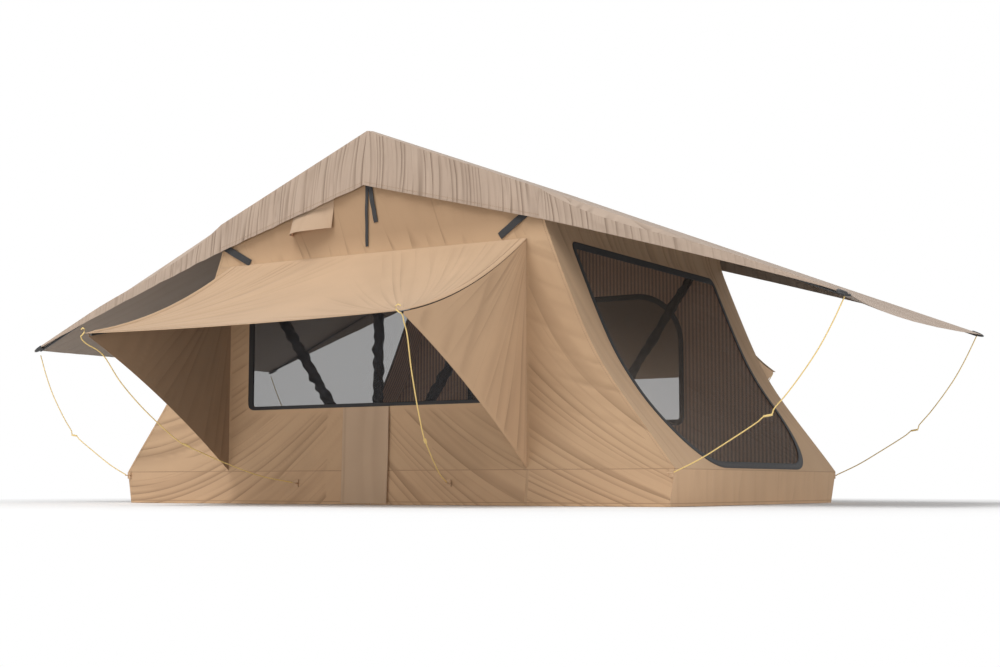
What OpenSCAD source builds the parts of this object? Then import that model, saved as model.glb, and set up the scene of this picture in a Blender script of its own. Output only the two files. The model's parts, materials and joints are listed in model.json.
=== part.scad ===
// Soft roof top tent: two folding base halves, three bows, a canopy, a fly and two window awnings.
// Millimetres. X runs along the bed, Y across it, Z up. The hinge lies along Y at x = 0.
// The left half (x below 0) is bolted to the roof bars and the right half folds over onto it.

/* [Base] */
// Open length of the base over the skirts
base_l = 2400; // [2300:5:2500]
// Depth of the base over the skirts
base_d = 1480; // [1440:5:1560]
// Height of the fold hinge above the underside of the rails
hinge_z = 125; // [122:1:135]
// Gap between the two base frames at the hinge
base_gap = 8; // [6:0.5:12]
// Height of the frame section
frame_h = 30; // [26:1:32]
// Width of the frame section
frame_w = 30; // [24:1:36]
// Distance from the end of the base to the end of the frame
frame_setback = 35; // [30:1:45]
// Distance from the skirt face to the side of the frame
frame_side = 10; // [10:0.5:12]
// Thickness of the floor panels
floor_t = 12; // [9:1:18]
// Height of the mounting rails
rail_h = 30; // [26:1:32]
// Width of the mounting rails
rail_w = 40; // [34:1:48]
// Wall of the rails
rail_wall = 3; // [2.5:0.25:4]
// Width of the slot in the underside of the rails
rail_slot = 12; // [9:0.5:14]
// Distance from the side of the frame to the ends of the rails
rail_short = 5; // [1:0.5:10]
// Distance of the inner rail from the hinge
rail_inner_x = 300; // [250:5:400]
// Distance of the outer rail from the hinge
rail_outer_x = 900; // [800:5:1000]
// Diameter of the bolts that hold the rails
rail_bolt_d = 8; // [6:0.5:10]
// Width of the ladder bracket
ladder_w = 600; // [450:10:700]
// Diameter of the ladder holes
ladder_hole_d = 9; // [6.5:0.5:11]
// Thickness of the mattress at its edge
mattress_edge = 42; // [36:1:44]
// Extra thickness of the mattress at its crown
mattress_crown = 8; // [4:0.5:9]
// Distance from the skirt face to the side of the mattress
mattress_side = 95; // [92:1:120]

/* [Bows] */
// Diameter of the bow tubes
tube_d = 16; // [14:0.5:18]
// Bend radius of the bow corners
bow_bend = 60; // [40:5:90]
// Distance of the side bows from the ridge, measured at their top bars
side_bow_x = 700; // [680:5:710]
// Distance of the side bow pivots from the hinge
side_pivot_x = 45; // [42:1:60]
// Height of the side bow pivots above the hinge
side_pivot_up = 15; // [12:1:20]
// Diameter of the pivot pins
pin_d = 10; // [8:0.5:12]
// Outer diameter of the padded sleeves on the bow legs
sleeve_d = 38; // [30:1:38]

/* [Canopy] */
// Modelled thickness of the cloth
cloth_t = 2.5; // [2:0.1:3]
// Inward lean of the end skirts at the hem
skirt_lean = 21; // [10:1:30]
// Depth of the inward curve of the end walls
end_sag = 78; // [50:1:95]
// Half width of the windows
window_hw = 560; // [480:5:575]
// Sill height of the windows
window_sill = 365; // [300:5:420]
// Top height of the windows
window_top = 880; // [800:5:885]
// Radius of the upper window corners
window_r = 200; // [80:5:240]
// Half width of the end doors
door_hw = 575; // [480:5:600]
// Sill height of the end doors
door_sill = 150; // [140:5:200]
// Top height of the end doors
door_top = 905; // [800:5:920]
// Radius of the lower door corners
door_r = 250; // [100:5:280]
// Width of the black binding round each opening
binding_w = 22; // [14:1:26]

/* [Fly] */
// Height of the fly at its ridge
ridge_z = 1360; // [1340:5:1375]
// Fall of the fly per unit of length
fly_slope = 0.4; // [0.38:0.005:0.42]
// Half length of the fly
fly_hl = 1765; // [1650:5:1800]
// Overhang of the fly past the side walls
fly_over = 19; // [16:1:35]
// Drop of the valance at the ridge
valance_ridge = 200; // [160:5:210]
// Drop of the valance at the side bows
valance_side = 105; // [80:5:115]
// Drop of the valance at the fly corners
valance_end = 12; // [10:1:30]
// Sag of the fly ends between their corners
fly_sag = 45; // [20:1:60]
// Inward curve of the fly end edges
fly_cut = 60; // [20:1:80]
// Diameter of the fly rods
fly_rod_d = 8; // [6:0.5:9]

/* [Awnings] */
// Height of the awning line on the walls
awning_z = 910; // [905:1:915]
// Reach of the awnings from the walls
awning_reach = 744; // [650:2:780]
// Fall of the awnings from wall to tip
awning_fall = 320; // [280:2:340]
// Hollow of the awnings along their reach
awning_hollow = 45; // [20:1:60]
// Sag of the awning front edges
awning_sag = 30; // [10:1:45]
// Half width of the awnings at the wall
awning_hw = 652; // [640:1:665]
// Extra half width of the awnings at their tips
awning_flare = 16; // [0:1:30]
// Inward curve of the free edge of the wings
wing_cut = 55; // [20:1:80]
// Diameter of the wands in the awning hems
wand_d = 8; // [6:0.5:9]
// Diameter of the guy cords
cord_d = 4; // [3:0.25:5]
// Length of the cord runners
runner_l = 36; // [28:1:44]

/* [Hidden] */
$fn = 48;

// Clearances
run_fit = 0.05;
cloth_gap = 0.5;
seam_gap = 0.5;
bolt_fit = 0.2;

// Levels and limits of the base
half_l = base_l / 2;
half_d = base_d / 2;
frame_end = half_l - frame_setback;
frame_hd = half_d - frame_side;
deck_z = rail_h + frame_h;
rail_l = 2 * (frame_hd - rail_short);
skirt_drop = 13;
skirt_lift = 1;
skirt_top = hinge_z - skirt_drop;
skirt_in = half_d - cloth_t;
ledge_t = 2;
ledge_w = 15;
ledge_start = 320;
bolt_y = frame_hd - frame_w / 2;
bolt_head_h = 6;
bolt_head_d = rail_bolt_d + 5;
mattress_gap = 15;
mattress_end = frame_end - frame_w - mattress_gap;
mattress_hd = half_d - mattress_side;
mattress_pull = 8;
ladder_flange = 60;
ladder_t = 4;
ladder_back = 10;
ladder_hole_in = 60;

// Hub layers across the tent, outermost first
plate_t = 4;
plate_r = 18;
plate_reach = 220;
plate_lift = 4;
foot_h = 24;
leg_pitch = tube_d + 2;
left_leg_y = frame_hd - 2 - tube_d / 2 - 4;
ridge_leg_y = left_leg_y - leg_pitch;
bracket_y = ridge_leg_y - tube_d / 2 - 4 - plate_t;
right_leg_y = bracket_y - 3 - tube_d / 2;
eye_wall = 8;
eye_d = pin_d + 2 * eye_wall;
eye_w = tube_d - 2;
pin_head_d = pin_d + 8;
pin_head_t = 1.5;
side_pivot_z = hinge_z + side_pivot_up;
sleeve_start = 90;
sleeve_short = 110;

// Stack of fly, roof and bars
fly_hw = half_d + fly_over;
slant = sqrt(1 + fly_slope * fly_slope);
cloth_v = cloth_t * slant;
roof_top = ridge_z - cloth_v - cloth_gap;
bar_top = roof_top - cloth_v - (tube_d / 2 + cloth_gap) * slant;
bow_cover = tube_d / 2 + 6;
function fly_z(x) = ridge_z - fly_slope * x;
function roof_z(x) = roof_top - fly_slope * x;
function bar_z(x) = bar_top - fly_slope * x;

// Curve of the end walls, a hollow arc from the skirt to the side bow
arc_steps = 18;
foot = [half_l, skirt_top + cloth_gap];
head = [side_bow_x + bow_cover, roof_z(side_bow_x + bow_cover)];
chord = norm(head - foot);
along = (head - foot) / chord;
inward = [-along[1], along[0]];
arc_r = chord * chord / (8 * end_sag) + end_sag / 2;
arc_mid = (foot + head) / 2 - inward * (arc_r - end_sag);
arc_half = asin(chord / 2 / arc_r);
function arc_point(r, a) = arc_mid + r * (inward * cos(a) + along * sin(a));
function end_arc(shift) =
    [for (k = [0 : arc_steps]) arc_point(arc_r + shift, arc_half * (2 * k / arc_steps - 1))];

// Window and door trim
mesh_t = 1.2;
mesh_lap = 15;
mesh_gap = 0.3;
binding_t = 2;
small_r = 25;
flap_t = 2.5;
flap_left = -130;
flap_right = 75;
flap_hem = 5;
hood_left = 373;
hood_right = 179;
hood_h = 85;
hood_below = 275;
hood_high = ridge_z - hood_below;
hood_low = hood_high - hood_h;
hood_out = 34;
hood_wall = 2;

// Fly rods and awning parts
rod_inset = 11;
tip_d = fly_rod_d + 6;
tip_l = 24;
rod_start = side_bow_x + bow_cover + 8;
rod_short = 6;
tip_drop = (tip_d - fly_rod_d) / 2;
wand_inset = 14;
wand_gap = 2;
wand_ratio = 0.02;
wing_gap = 0.5;
wing_ratio = 0.97;
wing_rise = 14;
wing_foot = skirt_top + wing_rise;
awning_y = half_d + mesh_gap;

// Routes of the slack cords from tip to ring, on the right half at the front, mirrored for the other three
fly_cord_route = [
    [1747, -741, 642], [1710, -742, 562], [1668, -743, 484], [1620, -744, 413], [1570, -745, 348],
    [1528, -746, 303], [1472, -747, 260], [1380, -748, 204], [1290, -749, 152], [1201, -750, 111]];
awning_cord_route = [
    [654, -1459, 580], [635, -1417, 520], [610, -1361, 430], [582, -1298, 352], [554, -1236, 288],
    [523, -1166, 225], [498, -1110, 196], [448, -998, 147], [395, -880, 104], [342, -762, 80]];
runner_step = 5;
cord_sides = 8;
runner_w = 12;
runner_t = 8;
ring_r = 9;
ring_d = 4;
ring_tab = [16, 4, 26];
corner_ring = [1190, 109];
front_ring = [338, 77];

// Closed solid between two point grids of the same size, the first one outermost
module solid_grid(top, bottom) {
    nu = len(top) - 1;
    nv = len(top[0]) - 1;
    n = (nu + 1) * (nv + 1);
    function at(i, j) = i * (nv + 1) + j;
    points = concat([for (row = top) each row], [for (row = bottom) each row]);
    cells = [for (i = [0 : nu - 1], j = [0 : nv - 1])
        [at(i, j), at(i + 1, j), at(i + 1, j + 1), at(i, j + 1)]];
    upper = [for (c = cells) each [[c[0], c[3], c[2]], [c[0], c[2], c[1]]]];
    lower = [for (f = upper) [f[0] + n, f[2] + n, f[1] + n]];
    rim = concat(
        [for (i = [0 : nu - 1]) [at(i, 0), at(i + 1, 0)]],
        [for (i = [0 : nu - 1]) [at(i + 1, nv), at(i, nv)]],
        [for (j = [0 : nv - 1]) [at(0, j + 1), at(0, j)]],
        [for (j = [0 : nv - 1]) [at(nu, j), at(nu, j + 1)]]);
    walls = [for (e = rim) each [[e[0], e[1], e[1] + n], [e[0], e[1] + n, e[0] + n]]];
    polyhedron(points, concat(upper, lower, walls));
}

// Cloth of even thickness below a grid of points
module cloth_grid(grid, shift) {
    solid_grid(grid, [for (row = grid) [for (p = row) p + shift]]);
}

// Round tube swept along points
module swept_tube(route, d) {
    n = len(route);
    function unit(v) = v / norm(v);
    function heading(k) = unit(route[min(k + 1, n - 1)] - route[max(k - 1, 0)]);
    function side(k) = unit(cross([0, 0, 1], heading(k)));
    points = [for (k = [0 : n - 1], j = [0 : cord_sides - 1])
        let (a = 360 * j / cord_sides, t = heading(k), e = side(k))
        route[k] + d / 2 * (cos(a) * e + sin(a) * cross(t, e))];
    function id(k, j) = k * cord_sides + j % cord_sides;
    skin = [for (k = [0 : n - 2], j = [0 : cord_sides - 1])
        each [[id(k, j), id(k + 1, j), id(k + 1, j + 1)], [id(k, j), id(k + 1, j + 1), id(k, j + 1)]]];
    fan = [for (j = [1 : cord_sides - 2]) [0, j, j + 1]];
    far = [for (f = fan) [for (i = [0, 2, 1]) f[i] + (n - 1) * cord_sides]];
    polyhedron(points, concat(skin, fan, far));
}

// The back and the front copy of a shape that lies on the back side
module both_sides() {
    children();
    mirror([0, 1, 0]) children();
}

// Plate with an outline in X and Z, from y to y + t
module xz_plate(y, t) {
    translate([0, y + t, 0]) rotate([90, 0, 0]) linear_extrude(t) children();
}

// Prism with an outline in Y and Z, from x to x + l
module yz_prism(x, l) {
    translate([x, 0, 0]) rotate([90, 0, 90]) linear_extrude(l) children();
}

// Pin or bore along Y
module y_pin(x, z, y0, y1, d) {
    translate([x, y1, z]) rotate([90, 0, 0]) cylinder(h = y1 - y0, d = d);
}

// Rectangle with separate lower and upper corner radii
module opening_2d(hw, low, high, r_low, r_high) {
    translate([-hw, low + r_low]) square([2 * hw, high - low - r_low - r_high]);
    translate([-hw + r_low, low]) square([2 * (hw - r_low), high - low - r_high]);
    translate([-hw + r_high, low + r_low]) square([2 * (hw - r_high), high - low - r_low]);
    for (s = [-1, 1]) {
        translate([s * (hw - r_low), low + r_low]) circle(r_low);
        translate([s * (hw - r_high), high - r_high]) circle(r_high);
    }
}

module window_2d(grow) {
    opening_2d(window_hw + grow, window_sill - grow, window_top + grow, small_r + grow, window_r + grow);
}

module door_2d(grow) {
    opening_2d(door_hw + grow, door_sill - grow, door_top + grow, door_r + grow, small_r + grow);
}

// Right half of anything that crosses the hinge line
module right_only() {
    intersection() {
        children();
        translate([seam_gap, -2 * half_d, 0]) cube([2 * half_l, 4 * half_d, 2 * ridge_z]);
    }
}

// Base
module frame_ring() {
    l = frame_end - base_gap / 2;
    translate([base_gap / 2, -frame_hd, rail_h])
    difference() {
        cube([l, 2 * frame_hd, frame_h]);
        translate([frame_w, frame_w, -1])
            cube([l - 2 * frame_w, 2 * (frame_hd - frame_w), frame_h + 2]);
    }
}

module floor_panel() {
    x0 = base_gap / 2 + frame_w;
    hd = frame_hd - frame_w;
    translate([x0, -hd, deck_z - floor_t]) cube([frame_end - frame_w - x0, 2 * hd, floor_t]);
}

module each_rail_bolt() {
    for (x = [-rail_inner_x, -rail_outer_x], y = [-bolt_y, bolt_y]) translate([x, y, 0]) children();
}

module rail_at(x) {
    difference() {
        xz_plate(-rail_l / 2, rail_l)
        translate([-x, 0])
        difference() {
            translate([-rail_w / 2, 0]) square([rail_w, rail_h]);
            translate([-rail_w / 2 + rail_wall, rail_wall])
                square([rail_w - 2 * rail_wall, rail_h - 2 * rail_wall]);
            translate([-rail_slot / 2, -1]) square([rail_slot, rail_wall + 2]);
        }
        each_rail_bolt() cylinder(h = 2 * rail_h, d = rail_bolt_d + bolt_fit);
    }
}

module inner_rail() {
    color("silver") rail_at(rail_inner_x);
}

module outer_rail() {
    color("silver") rail_at(rail_outer_x);
}

module rail_bolts() {
    color("dimgray")
    each_rail_bolt() {
        translate([0, 0, rail_h - rail_wall - bolt_head_h]) cylinder(h = bolt_head_h, d = bolt_head_d);
        translate([0, 0, rail_h - rail_wall - bolt_head_h])
            cylinder(h = frame_h + rail_wall + 2 * bolt_head_h, d = rail_bolt_d);
        translate([0, 0, deck_z]) cylinder(h = bolt_head_h, d = bolt_head_d, $fn = 6);
    }
}

module fixed_frame() {
    color("gray")
    difference() {
        mirror([1, 0, 0]) frame_ring();
        each_rail_bolt() cylinder(h = 2 * deck_z, d = rail_bolt_d + bolt_fit);
    }
}

module moving_frame() {
    color("gray") frame_ring();
}

module fixed_floor() {
    color("gainsboro") mirror([1, 0, 0]) floor_panel();
}

module moving_floor() {
    color("gainsboro") floor_panel();
}

module ladder_bracket() {
    x0 = frame_end - ladder_flange - ladder_back;
    color("silver")
    difference() {
        translate([x0, -ladder_w / 2, 0]) {
            cube([ladder_t, ladder_w, rail_h]);
            translate([0, 0, rail_h - ladder_t]) cube([ladder_flange, ladder_w, ladder_t]);
        }
        for (s = [-1, 1])
            translate([x0 - 1, s * (ladder_w / 2 - ladder_hole_in), (rail_h - ladder_t) / 2])
                rotate([0, 90, 0]) cylinder(h = ladder_t + 2, d = ladder_hole_d);
    }
}

module hinge_plates() {
    color("darkgray")
    both_sides()
    difference() {
        union() {
            xz_plate(frame_hd, plate_t) polygon([
                [-plate_reach, rail_h + plate_lift], [-base_gap, rail_h + plate_lift],
                [plate_r * 0.9, hinge_z], [-side_pivot_x, side_pivot_z + plate_r * 0.9],
                [-side_pivot_x - plate_r, side_pivot_z], [-plate_reach, deck_z]]);
            y_pin(0, hinge_z, frame_hd, frame_hd + plate_t, 2 * plate_r);
            y_pin(-side_pivot_x, side_pivot_z, frame_hd, frame_hd + plate_t, 2 * plate_r);
        }
        y_pin(0, hinge_z, frame_hd - 1, frame_hd + plate_t + 1, pin_d + 2 * run_fit);
        y_pin(-side_pivot_x, side_pivot_z, frame_hd - 1, frame_hd + plate_t + 1, pin_d + 2 * run_fit);
    }
}

module moving_brackets() {
    color("darkgray")
    both_sides()
    difference() {
        union() {
            xz_plate(bracket_y, plate_t) polygon([
                [side_pivot_x, deck_z], [plate_reach, deck_z], [plate_reach, deck_z + foot_h],
                [side_pivot_x + plate_r, side_pivot_z], [side_pivot_x, side_pivot_z + plate_r * 0.9],
                [-plate_r * 0.9, hinge_z]]);
            y_pin(0, hinge_z, bracket_y, bracket_y + plate_t, 2 * plate_r);
            y_pin(side_pivot_x, side_pivot_z, bracket_y, bracket_y + plate_t, 2 * plate_r);
            translate([side_pivot_x, bracket_y, deck_z])
                cube([plate_reach - side_pivot_x, frame_hd - bracket_y - 4, plate_t]);
        }
        y_pin(0, hinge_z, bracket_y - 1, bracket_y + plate_t + 1, pin_d + 2 * run_fit);
        y_pin(side_pivot_x, side_pivot_z, bracket_y - 1, bracket_y + plate_t + 1, pin_d + 2 * run_fit);
    }
}

module headed_pin(x, z, y0, y1) {
    y_pin(x, z, y0, y1, pin_d);
    y_pin(x, z, y1, y1 + pin_head_t, pin_head_d);
}

module pivot_pins() {
    color("silver")
    both_sides() {
        headed_pin(0, hinge_z, bracket_y - 2, frame_hd + plate_t);
        headed_pin(-side_pivot_x, side_pivot_z, left_leg_y - eye_w / 2 - 1, frame_hd + plate_t);
    }
}

module right_pivot_pins() {
    color("silver")
    both_sides() headed_pin(side_pivot_x, side_pivot_z, right_leg_y - eye_w / 2 - 1, bracket_y + plate_t);
}

// Soft base pieces
module mattress_half() {
    length_steps = 12;
    width_steps = 14;
    x0 = base_gap / 2;
    l = mattress_end - x0;
    function dome(t) = 1 - pow(abs(2 * t - 1), 4);
    function spot(u, v, z) = [
        x0 + l * u - mattress_pull * dome(v) * (2 * u - 1),
        mattress_hd * (2 * v - 1) - mattress_pull * dome(u) * (2 * v - 1), z];
    function layer(rise, crown) = [for (i = [0 : length_steps]) [for (j = [0 : width_steps])
        let (u = i / length_steps, v = j / width_steps)
        spot(u, v, deck_z + rise + crown * dome(u) * dome(v))]];
    solid_grid(layer(mattress_edge, mattress_crown), layer(0, 0));
}

module left_mattress() {
    color("slategray") mirror([1, 0, 0]) mattress_half();
}

module right_mattress() {
    color("slategray") mattress_half();
}

// Three panels, with the tapes that hold them down on the frame
module skirt_half() {
    hem = half_l - skirt_lean;
    inner = cloth_t + mesh_gap;
    xz_plate(-half_d, base_d) polygon([
        [hem - cloth_t, skirt_lift], [hem, skirt_lift], [half_l, skirt_top], [half_l - cloth_t, skirt_top]]);
    both_sides() xz_plate(skirt_in, cloth_t) polygon([
        [seam_gap + 1, skirt_lift], [hem - inner, skirt_lift], [half_l - inner, skirt_top],
        [seam_gap + 1, skirt_top]]);
    tape_end = hem - inner + skirt_lean * (deck_z - skirt_lift) / (skirt_top - skirt_lift);
    tape_in = skirt_in - mesh_gap - ledge_w;
    both_sides() translate([ledge_start, tape_in, deck_z])
        cube([tape_end - ledge_start, ledge_w, ledge_t]);
    translate([frame_end - ledge_w, mesh_gap - tape_in, deck_z])
        cube([tape_end - frame_end + ledge_w, 2 * (tape_in - mesh_gap), ledge_t]);
}

module left_skirt() {
    color("tan") mirror([1, 0, 0]) skirt_half();
}

module right_skirt() {
    color("tan") skirt_half();
}

module skirt_rings_half() {
    both_sides()
    for (spot = [corner_ring, front_ring])
        translate([spot[0], half_d, spot[1]]) {
            translate([-ring_tab[0] / 2, mesh_gap, -ring_tab[2] / 2]) cube(ring_tab);
            translate([0, mesh_gap + ring_tab[1] + ring_r - ring_d / 2, 0])
                rotate_extrude() translate([ring_r, 0]) circle(d = ring_d);
        }
}

module left_skirt_rings() {
    color("black") mirror([1, 0, 0]) skirt_rings_half();
}

module right_skirt_rings() {
    color("black") skirt_rings_half();
}

// Canopy
module canopy_half() {
    outer = concat([[seam_gap, foot[1]]], end_arc(0), [[seam_gap, roof_z(seam_gap)]]);
    inner = concat([[-1, foot[1] - 1], [half_l - cloth_t, foot[1] - 1]], end_arc(cloth_t),
        [[side_bow_x + bow_cover - cloth_t, roof_z(side_bow_x + bow_cover - cloth_t) - cloth_v],
         [-1, roof_z(-1) - cloth_v]]);
    difference() {
        xz_plate(-half_d, base_d) polygon(outer);
        xz_plate(-skirt_in, 2 * skirt_in) polygon(inner);
        both_sides() xz_plate(skirt_in - 1, cloth_t + 2) window_2d(0);
        yz_prism(side_bow_x, half_l) door_2d(0);
    }
}

module left_canopy() {
    color("tan") mirror([1, 0, 0]) canopy_half();
}

module right_canopy() {
    color("tan") canopy_half();
}

// Part of a band that follows the end wall, from one depth to another
module end_band(near, far) {
    back = end_arc(far);
    xz_plate(-half_d, base_d) polygon(concat(end_arc(near), [for (k = [arc_steps : -1 : 0]) back[k]]));
}

module meshes_half() {
    right_only() both_sides() xz_plate(skirt_in - mesh_gap - mesh_t, mesh_t) window_2d(mesh_lap);
    intersection() {
        end_band(cloth_t + mesh_gap, cloth_t + mesh_gap + mesh_t);
        yz_prism(side_bow_x, half_l) door_2d(mesh_lap);
    }
}

module bindings_half() {
    right_only() both_sides() xz_plate(half_d + mesh_gap, binding_t)
        difference() {
            window_2d(binding_w);
            window_2d(0);
        }
    intersection() {
        end_band(-mesh_gap - binding_t, -mesh_gap);
        yz_prism(side_bow_x, half_l) difference() {
            door_2d(binding_w);
            door_2d(0);
        }
    }
}

module left_meshes() {
    color("darkslategray") mirror([1, 0, 0]) meshes_half();
}

module right_meshes() {
    color("darkslategray") meshes_half();
}

module left_bindings() {
    color("black") mirror([1, 0, 0]) bindings_half();
}

module right_bindings() {
    color("black") bindings_half();
}

module hinge_flaps() {
    color("tan")
    both_sides() translate([flap_left, half_d + 2 * mesh_gap + binding_t, flap_hem])
        cube([flap_right - flap_left, flap_t, window_sill - flap_hem]);
}

module hood_2d(wall) {
    y0 = half_d + mesh_gap;
    polygon([[-y0, hood_low], [-y0 - hood_out + wall, hood_low], [-y0, hood_high - 2 * wall]]);
}

module vent_hood() {
    color("tan")
    difference() {
        yz_prism(-hood_left, hood_left - hood_right) hood_2d(0);
        yz_prism(-hood_left + hood_wall, hood_left - hood_right - 2 * hood_wall)
            translate([0, -1]) hood_2d(hood_wall);
    }
}

// Bows
module in_bow(px, pz, tx, tz) {
    translate([px, 0, pz]) rotate([0, atan2(tx - px, tz - pz), 0]) children();
}

module bow_tube(reach, leg_y) {
    straight = leg_y - bow_bend;
    difference() {
        union() {
            both_sides() {
                translate([0, leg_y, 0]) cylinder(h = reach - bow_bend, d = tube_d);
                y_pin(0, 0, leg_y - eye_w / 2, leg_y + eye_w / 2, eye_d);
                translate([0, straight, reach - bow_bend]) rotate([90, 0, 90])
                    rotate_extrude(angle = 90) translate([bow_bend, 0]) circle(d = tube_d);
            }
            translate([0, -straight, reach]) rotate([-90, 0, 0]) cylinder(h = 2 * straight, d = tube_d);
        }
        both_sides() y_pin(0, 0, leg_y - tube_d, leg_y + tube_d, pin_d + 2 * run_fit);
    }
}

module bow_sleeve(reach, leg_y) {
    both_sides() translate([0, leg_y, sleeve_start])
    difference() {
        cylinder(h = reach - sleeve_start - sleeve_short, d = sleeve_d);
        translate([0, 0, -1]) cylinder(h = reach, d = tube_d + 2 * mesh_gap);
    }
}

side_reach = norm([side_bow_x - side_pivot_x, bar_z(side_bow_x) - side_pivot_z]);
ridge_reach = bar_z(0) - hinge_z;

module in_side_bow() {
    in_bow(side_pivot_x, side_pivot_z, side_bow_x, bar_z(side_bow_x)) children();
}

module left_bow() {
    color("silver") mirror([1, 0, 0]) in_side_bow() bow_tube(side_reach, left_leg_y);
}

module right_bow() {
    color("silver") in_side_bow() bow_tube(side_reach, right_leg_y);
}

module ridge_bow() {
    color("silver") translate([0, 0, hinge_z]) bow_tube(ridge_reach, ridge_leg_y);
}

module left_bow_sleeves() {
    color("black") mirror([1, 0, 0]) in_side_bow() bow_sleeve(side_reach, left_leg_y);
}

module right_bow_sleeves() {
    color("black") in_side_bow() bow_sleeve(side_reach, right_leg_y);
}

module ridge_bow_sleeves() {
    color("black") translate([0, 0, hinge_z]) bow_sleeve(ridge_reach, ridge_leg_y);
}

// Fly
module fly_slope_half() {
    x1 = side_bow_x + bow_cover;
    xz_plate(-fly_hw, 2 * fly_hw) polygon([
        [seam_gap, fly_z(seam_gap)], [x1, fly_z(x1)], [x1, fly_z(x1) - cloth_v],
        [seam_gap, fly_z(seam_gap) - cloth_v]]);
    both_sides() xz_plate(fly_hw - cloth_t, cloth_t) polygon([
        [seam_gap, fly_z(seam_gap)], [x1, fly_z(x1)], [x1, fly_z(x1) - valance_side],
        [seam_gap, fly_z(seam_gap) - valance_ridge]]);
}

module fly_end_half() {
    run_steps = 10;
    width_steps = 16;
    x0 = side_bow_x + bow_cover + seam_gap;
    function bowed(v) = pow(1 - pow(2 * v - 1, 2), 2);
    function end_x(v) = fly_hl - fly_cut * (1 - pow(2 * v - 1, 2));
    grid = [for (i = [0 : run_steps]) [for (j = [0 : width_steps])
        let (u = i / run_steps, v = j / width_steps, x = x0 + (end_x(v) - x0) * u)
        [x, fly_hw * (2 * v - 1), fly_z(x) - fly_sag * u * u * bowed(v)]]];
    cloth_grid(grid, [0, 0, -cloth_v]);
    both_sides() xz_plate(fly_hw - cloth_t, cloth_t) polygon([
        [x0, fly_z(x0) - cloth_v / 2], [fly_hl, fly_z(fly_hl) - cloth_v / 2],
        [fly_hl, fly_z(fly_hl) - valance_end], [x0, fly_z(x0) - valance_side]]);
}

module fly_rods_half() {
    drop = cloth_v + (fly_rod_d / 2 + cloth_gap + tip_drop) * slant;
    l = (fly_hl - rod_start - rod_short) * slant;
    both_sides()
    translate([rod_start, fly_hw - rod_inset - tip_d / 2, fly_z(rod_start) - drop])
    rotate([0, 90 + atan(fly_slope), 0]) {
        cylinder(h = l, d = fly_rod_d);
        translate([0, 0, l - tip_l]) cylinder(h = tip_l, d = tip_d);
    }
}

module left_fly_slope() {
    color("rosybrown") mirror([1, 0, 0]) fly_slope_half();
}

module right_fly_slope() {
    color("rosybrown") fly_slope_half();
}

module left_fly_end() {
    color("rosybrown") mirror([1, 0, 0]) fly_end_half();
}

module right_fly_end() {
    color("rosybrown") fly_end_half();
}

module left_fly_rods() {
    color("dimgray") mirror([1, 0, 0]) fly_rods_half();
}

module right_fly_rods() {
    color("dimgray") fly_rods_half();
}

// Window awnings, drawn at the back right
function awning_x(a) = awning_hw + awning_flare * a;
function awning_line(a) = awning_z - awning_fall * a - awning_hollow * 4 * a * (1 - a);
function awning_out(a) = awning_y + awning_reach * a;

module awning_half() {
    reach_steps = 12;
    width_steps = 8;
    grid = [for (i = [0 : width_steps]) [for (j = [0 : reach_steps])
        let (s = i / width_steps, a = j / reach_steps)
        [seam_gap + (awning_x(a) - seam_gap) * s, awning_out(a),
         awning_line(a) - awning_sag * a * a * (1 - s * s)]]];
    cloth_grid(grid, [0, 0, -cloth_t]);
    drop = cloth_t + wand_d / 2 + wand_gap;
    swept_tube([for (j = [0 : reach_steps])
        let (a = wand_ratio + (wing_ratio - wand_ratio) * j / reach_steps)
        [awning_x(a) - wand_inset, awning_out(a), awning_line(a) - drop]], wand_d);
}

module wing_half() {
    reach_steps = 10;
    rise_steps = 6;
    x = awning_hw - cloth_t;
    tip_z = awning_line(1);
    function low(a) = wing_foot + (tip_z - wing_foot) * a + wing_cut * 4 * a * (1 - a);
    function high(a) = awning_line(a) - 2 * cloth_t - wing_gap;
    grid = [for (j = [0 : reach_steps]) [for (k = [0 : rise_steps])
        let (a = wing_ratio * j / reach_steps, t = k / rise_steps, top = max(high(a), low(a) + cloth_t))
        [x + awning_flare * a, awning_out(a), low(a) + (top - low(a)) * t]]];
    cloth_grid(grid, [-cloth_t, 0, 0]);
}

module front() {
    mirror([0, 1, 0]) children();
}

module left() {
    mirror([1, 0, 0]) children();
}

module front_left_awning() {
    color("burlywood") left() front() awning_half();
}

module front_right_awning() {
    color("burlywood") front() awning_half();
}

module back_left_awning() {
    color("burlywood") left() awning_half();
}

module back_right_awning() {
    color("burlywood") awning_half();
}

module front_left_wing() {
    color("tan") left() front() wing_half();
}

module front_right_wing() {
    color("tan") front() wing_half();
}

module back_left_wing() {
    color("tan") left() wing_half();
}

module back_right_wing() {
    color("tan") wing_half();
}

// Guy cords and their runners, drawn at the front right
module cord_on(route) {
    swept_tube(route, cord_d);
}

// The runner sits on the straight stretch after one of the route's points
module runner_on(route) {
    way = route[runner_step + 1] - route[runner_step];
    translate(route[runner_step] + way / 2)
    rotate([0, -asin(way[2] / norm(way)), atan2(way[1], way[0])])
    difference() {
        translate([0, 0, -runner_t / 2])
            union() {
                translate([-runner_l / 2, -runner_w / 2, 0]) cube([runner_l, runner_w, runner_t]);
                for (s = [-1, 1]) translate([s * runner_l / 2, 0, 0]) cylinder(h = runner_t, d = runner_w);
            }
        translate([-runner_l, 0, 0]) rotate([0, 90, 0]) cylinder(h = 2 * runner_l, d = cord_d + 2 * bolt_fit);
    }
}

module back() {
    mirror([0, 1, 0]) children();
}

module right_front_fly_cord() {
    color("khaki") cord_on(fly_cord_route);
}

module right_back_fly_cord() {
    color("khaki") back() cord_on(fly_cord_route);
}

module left_front_fly_cord() {
    color("khaki") left() cord_on(fly_cord_route);
}

module left_back_fly_cord() {
    color("khaki") left() back() cord_on(fly_cord_route);
}

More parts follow.
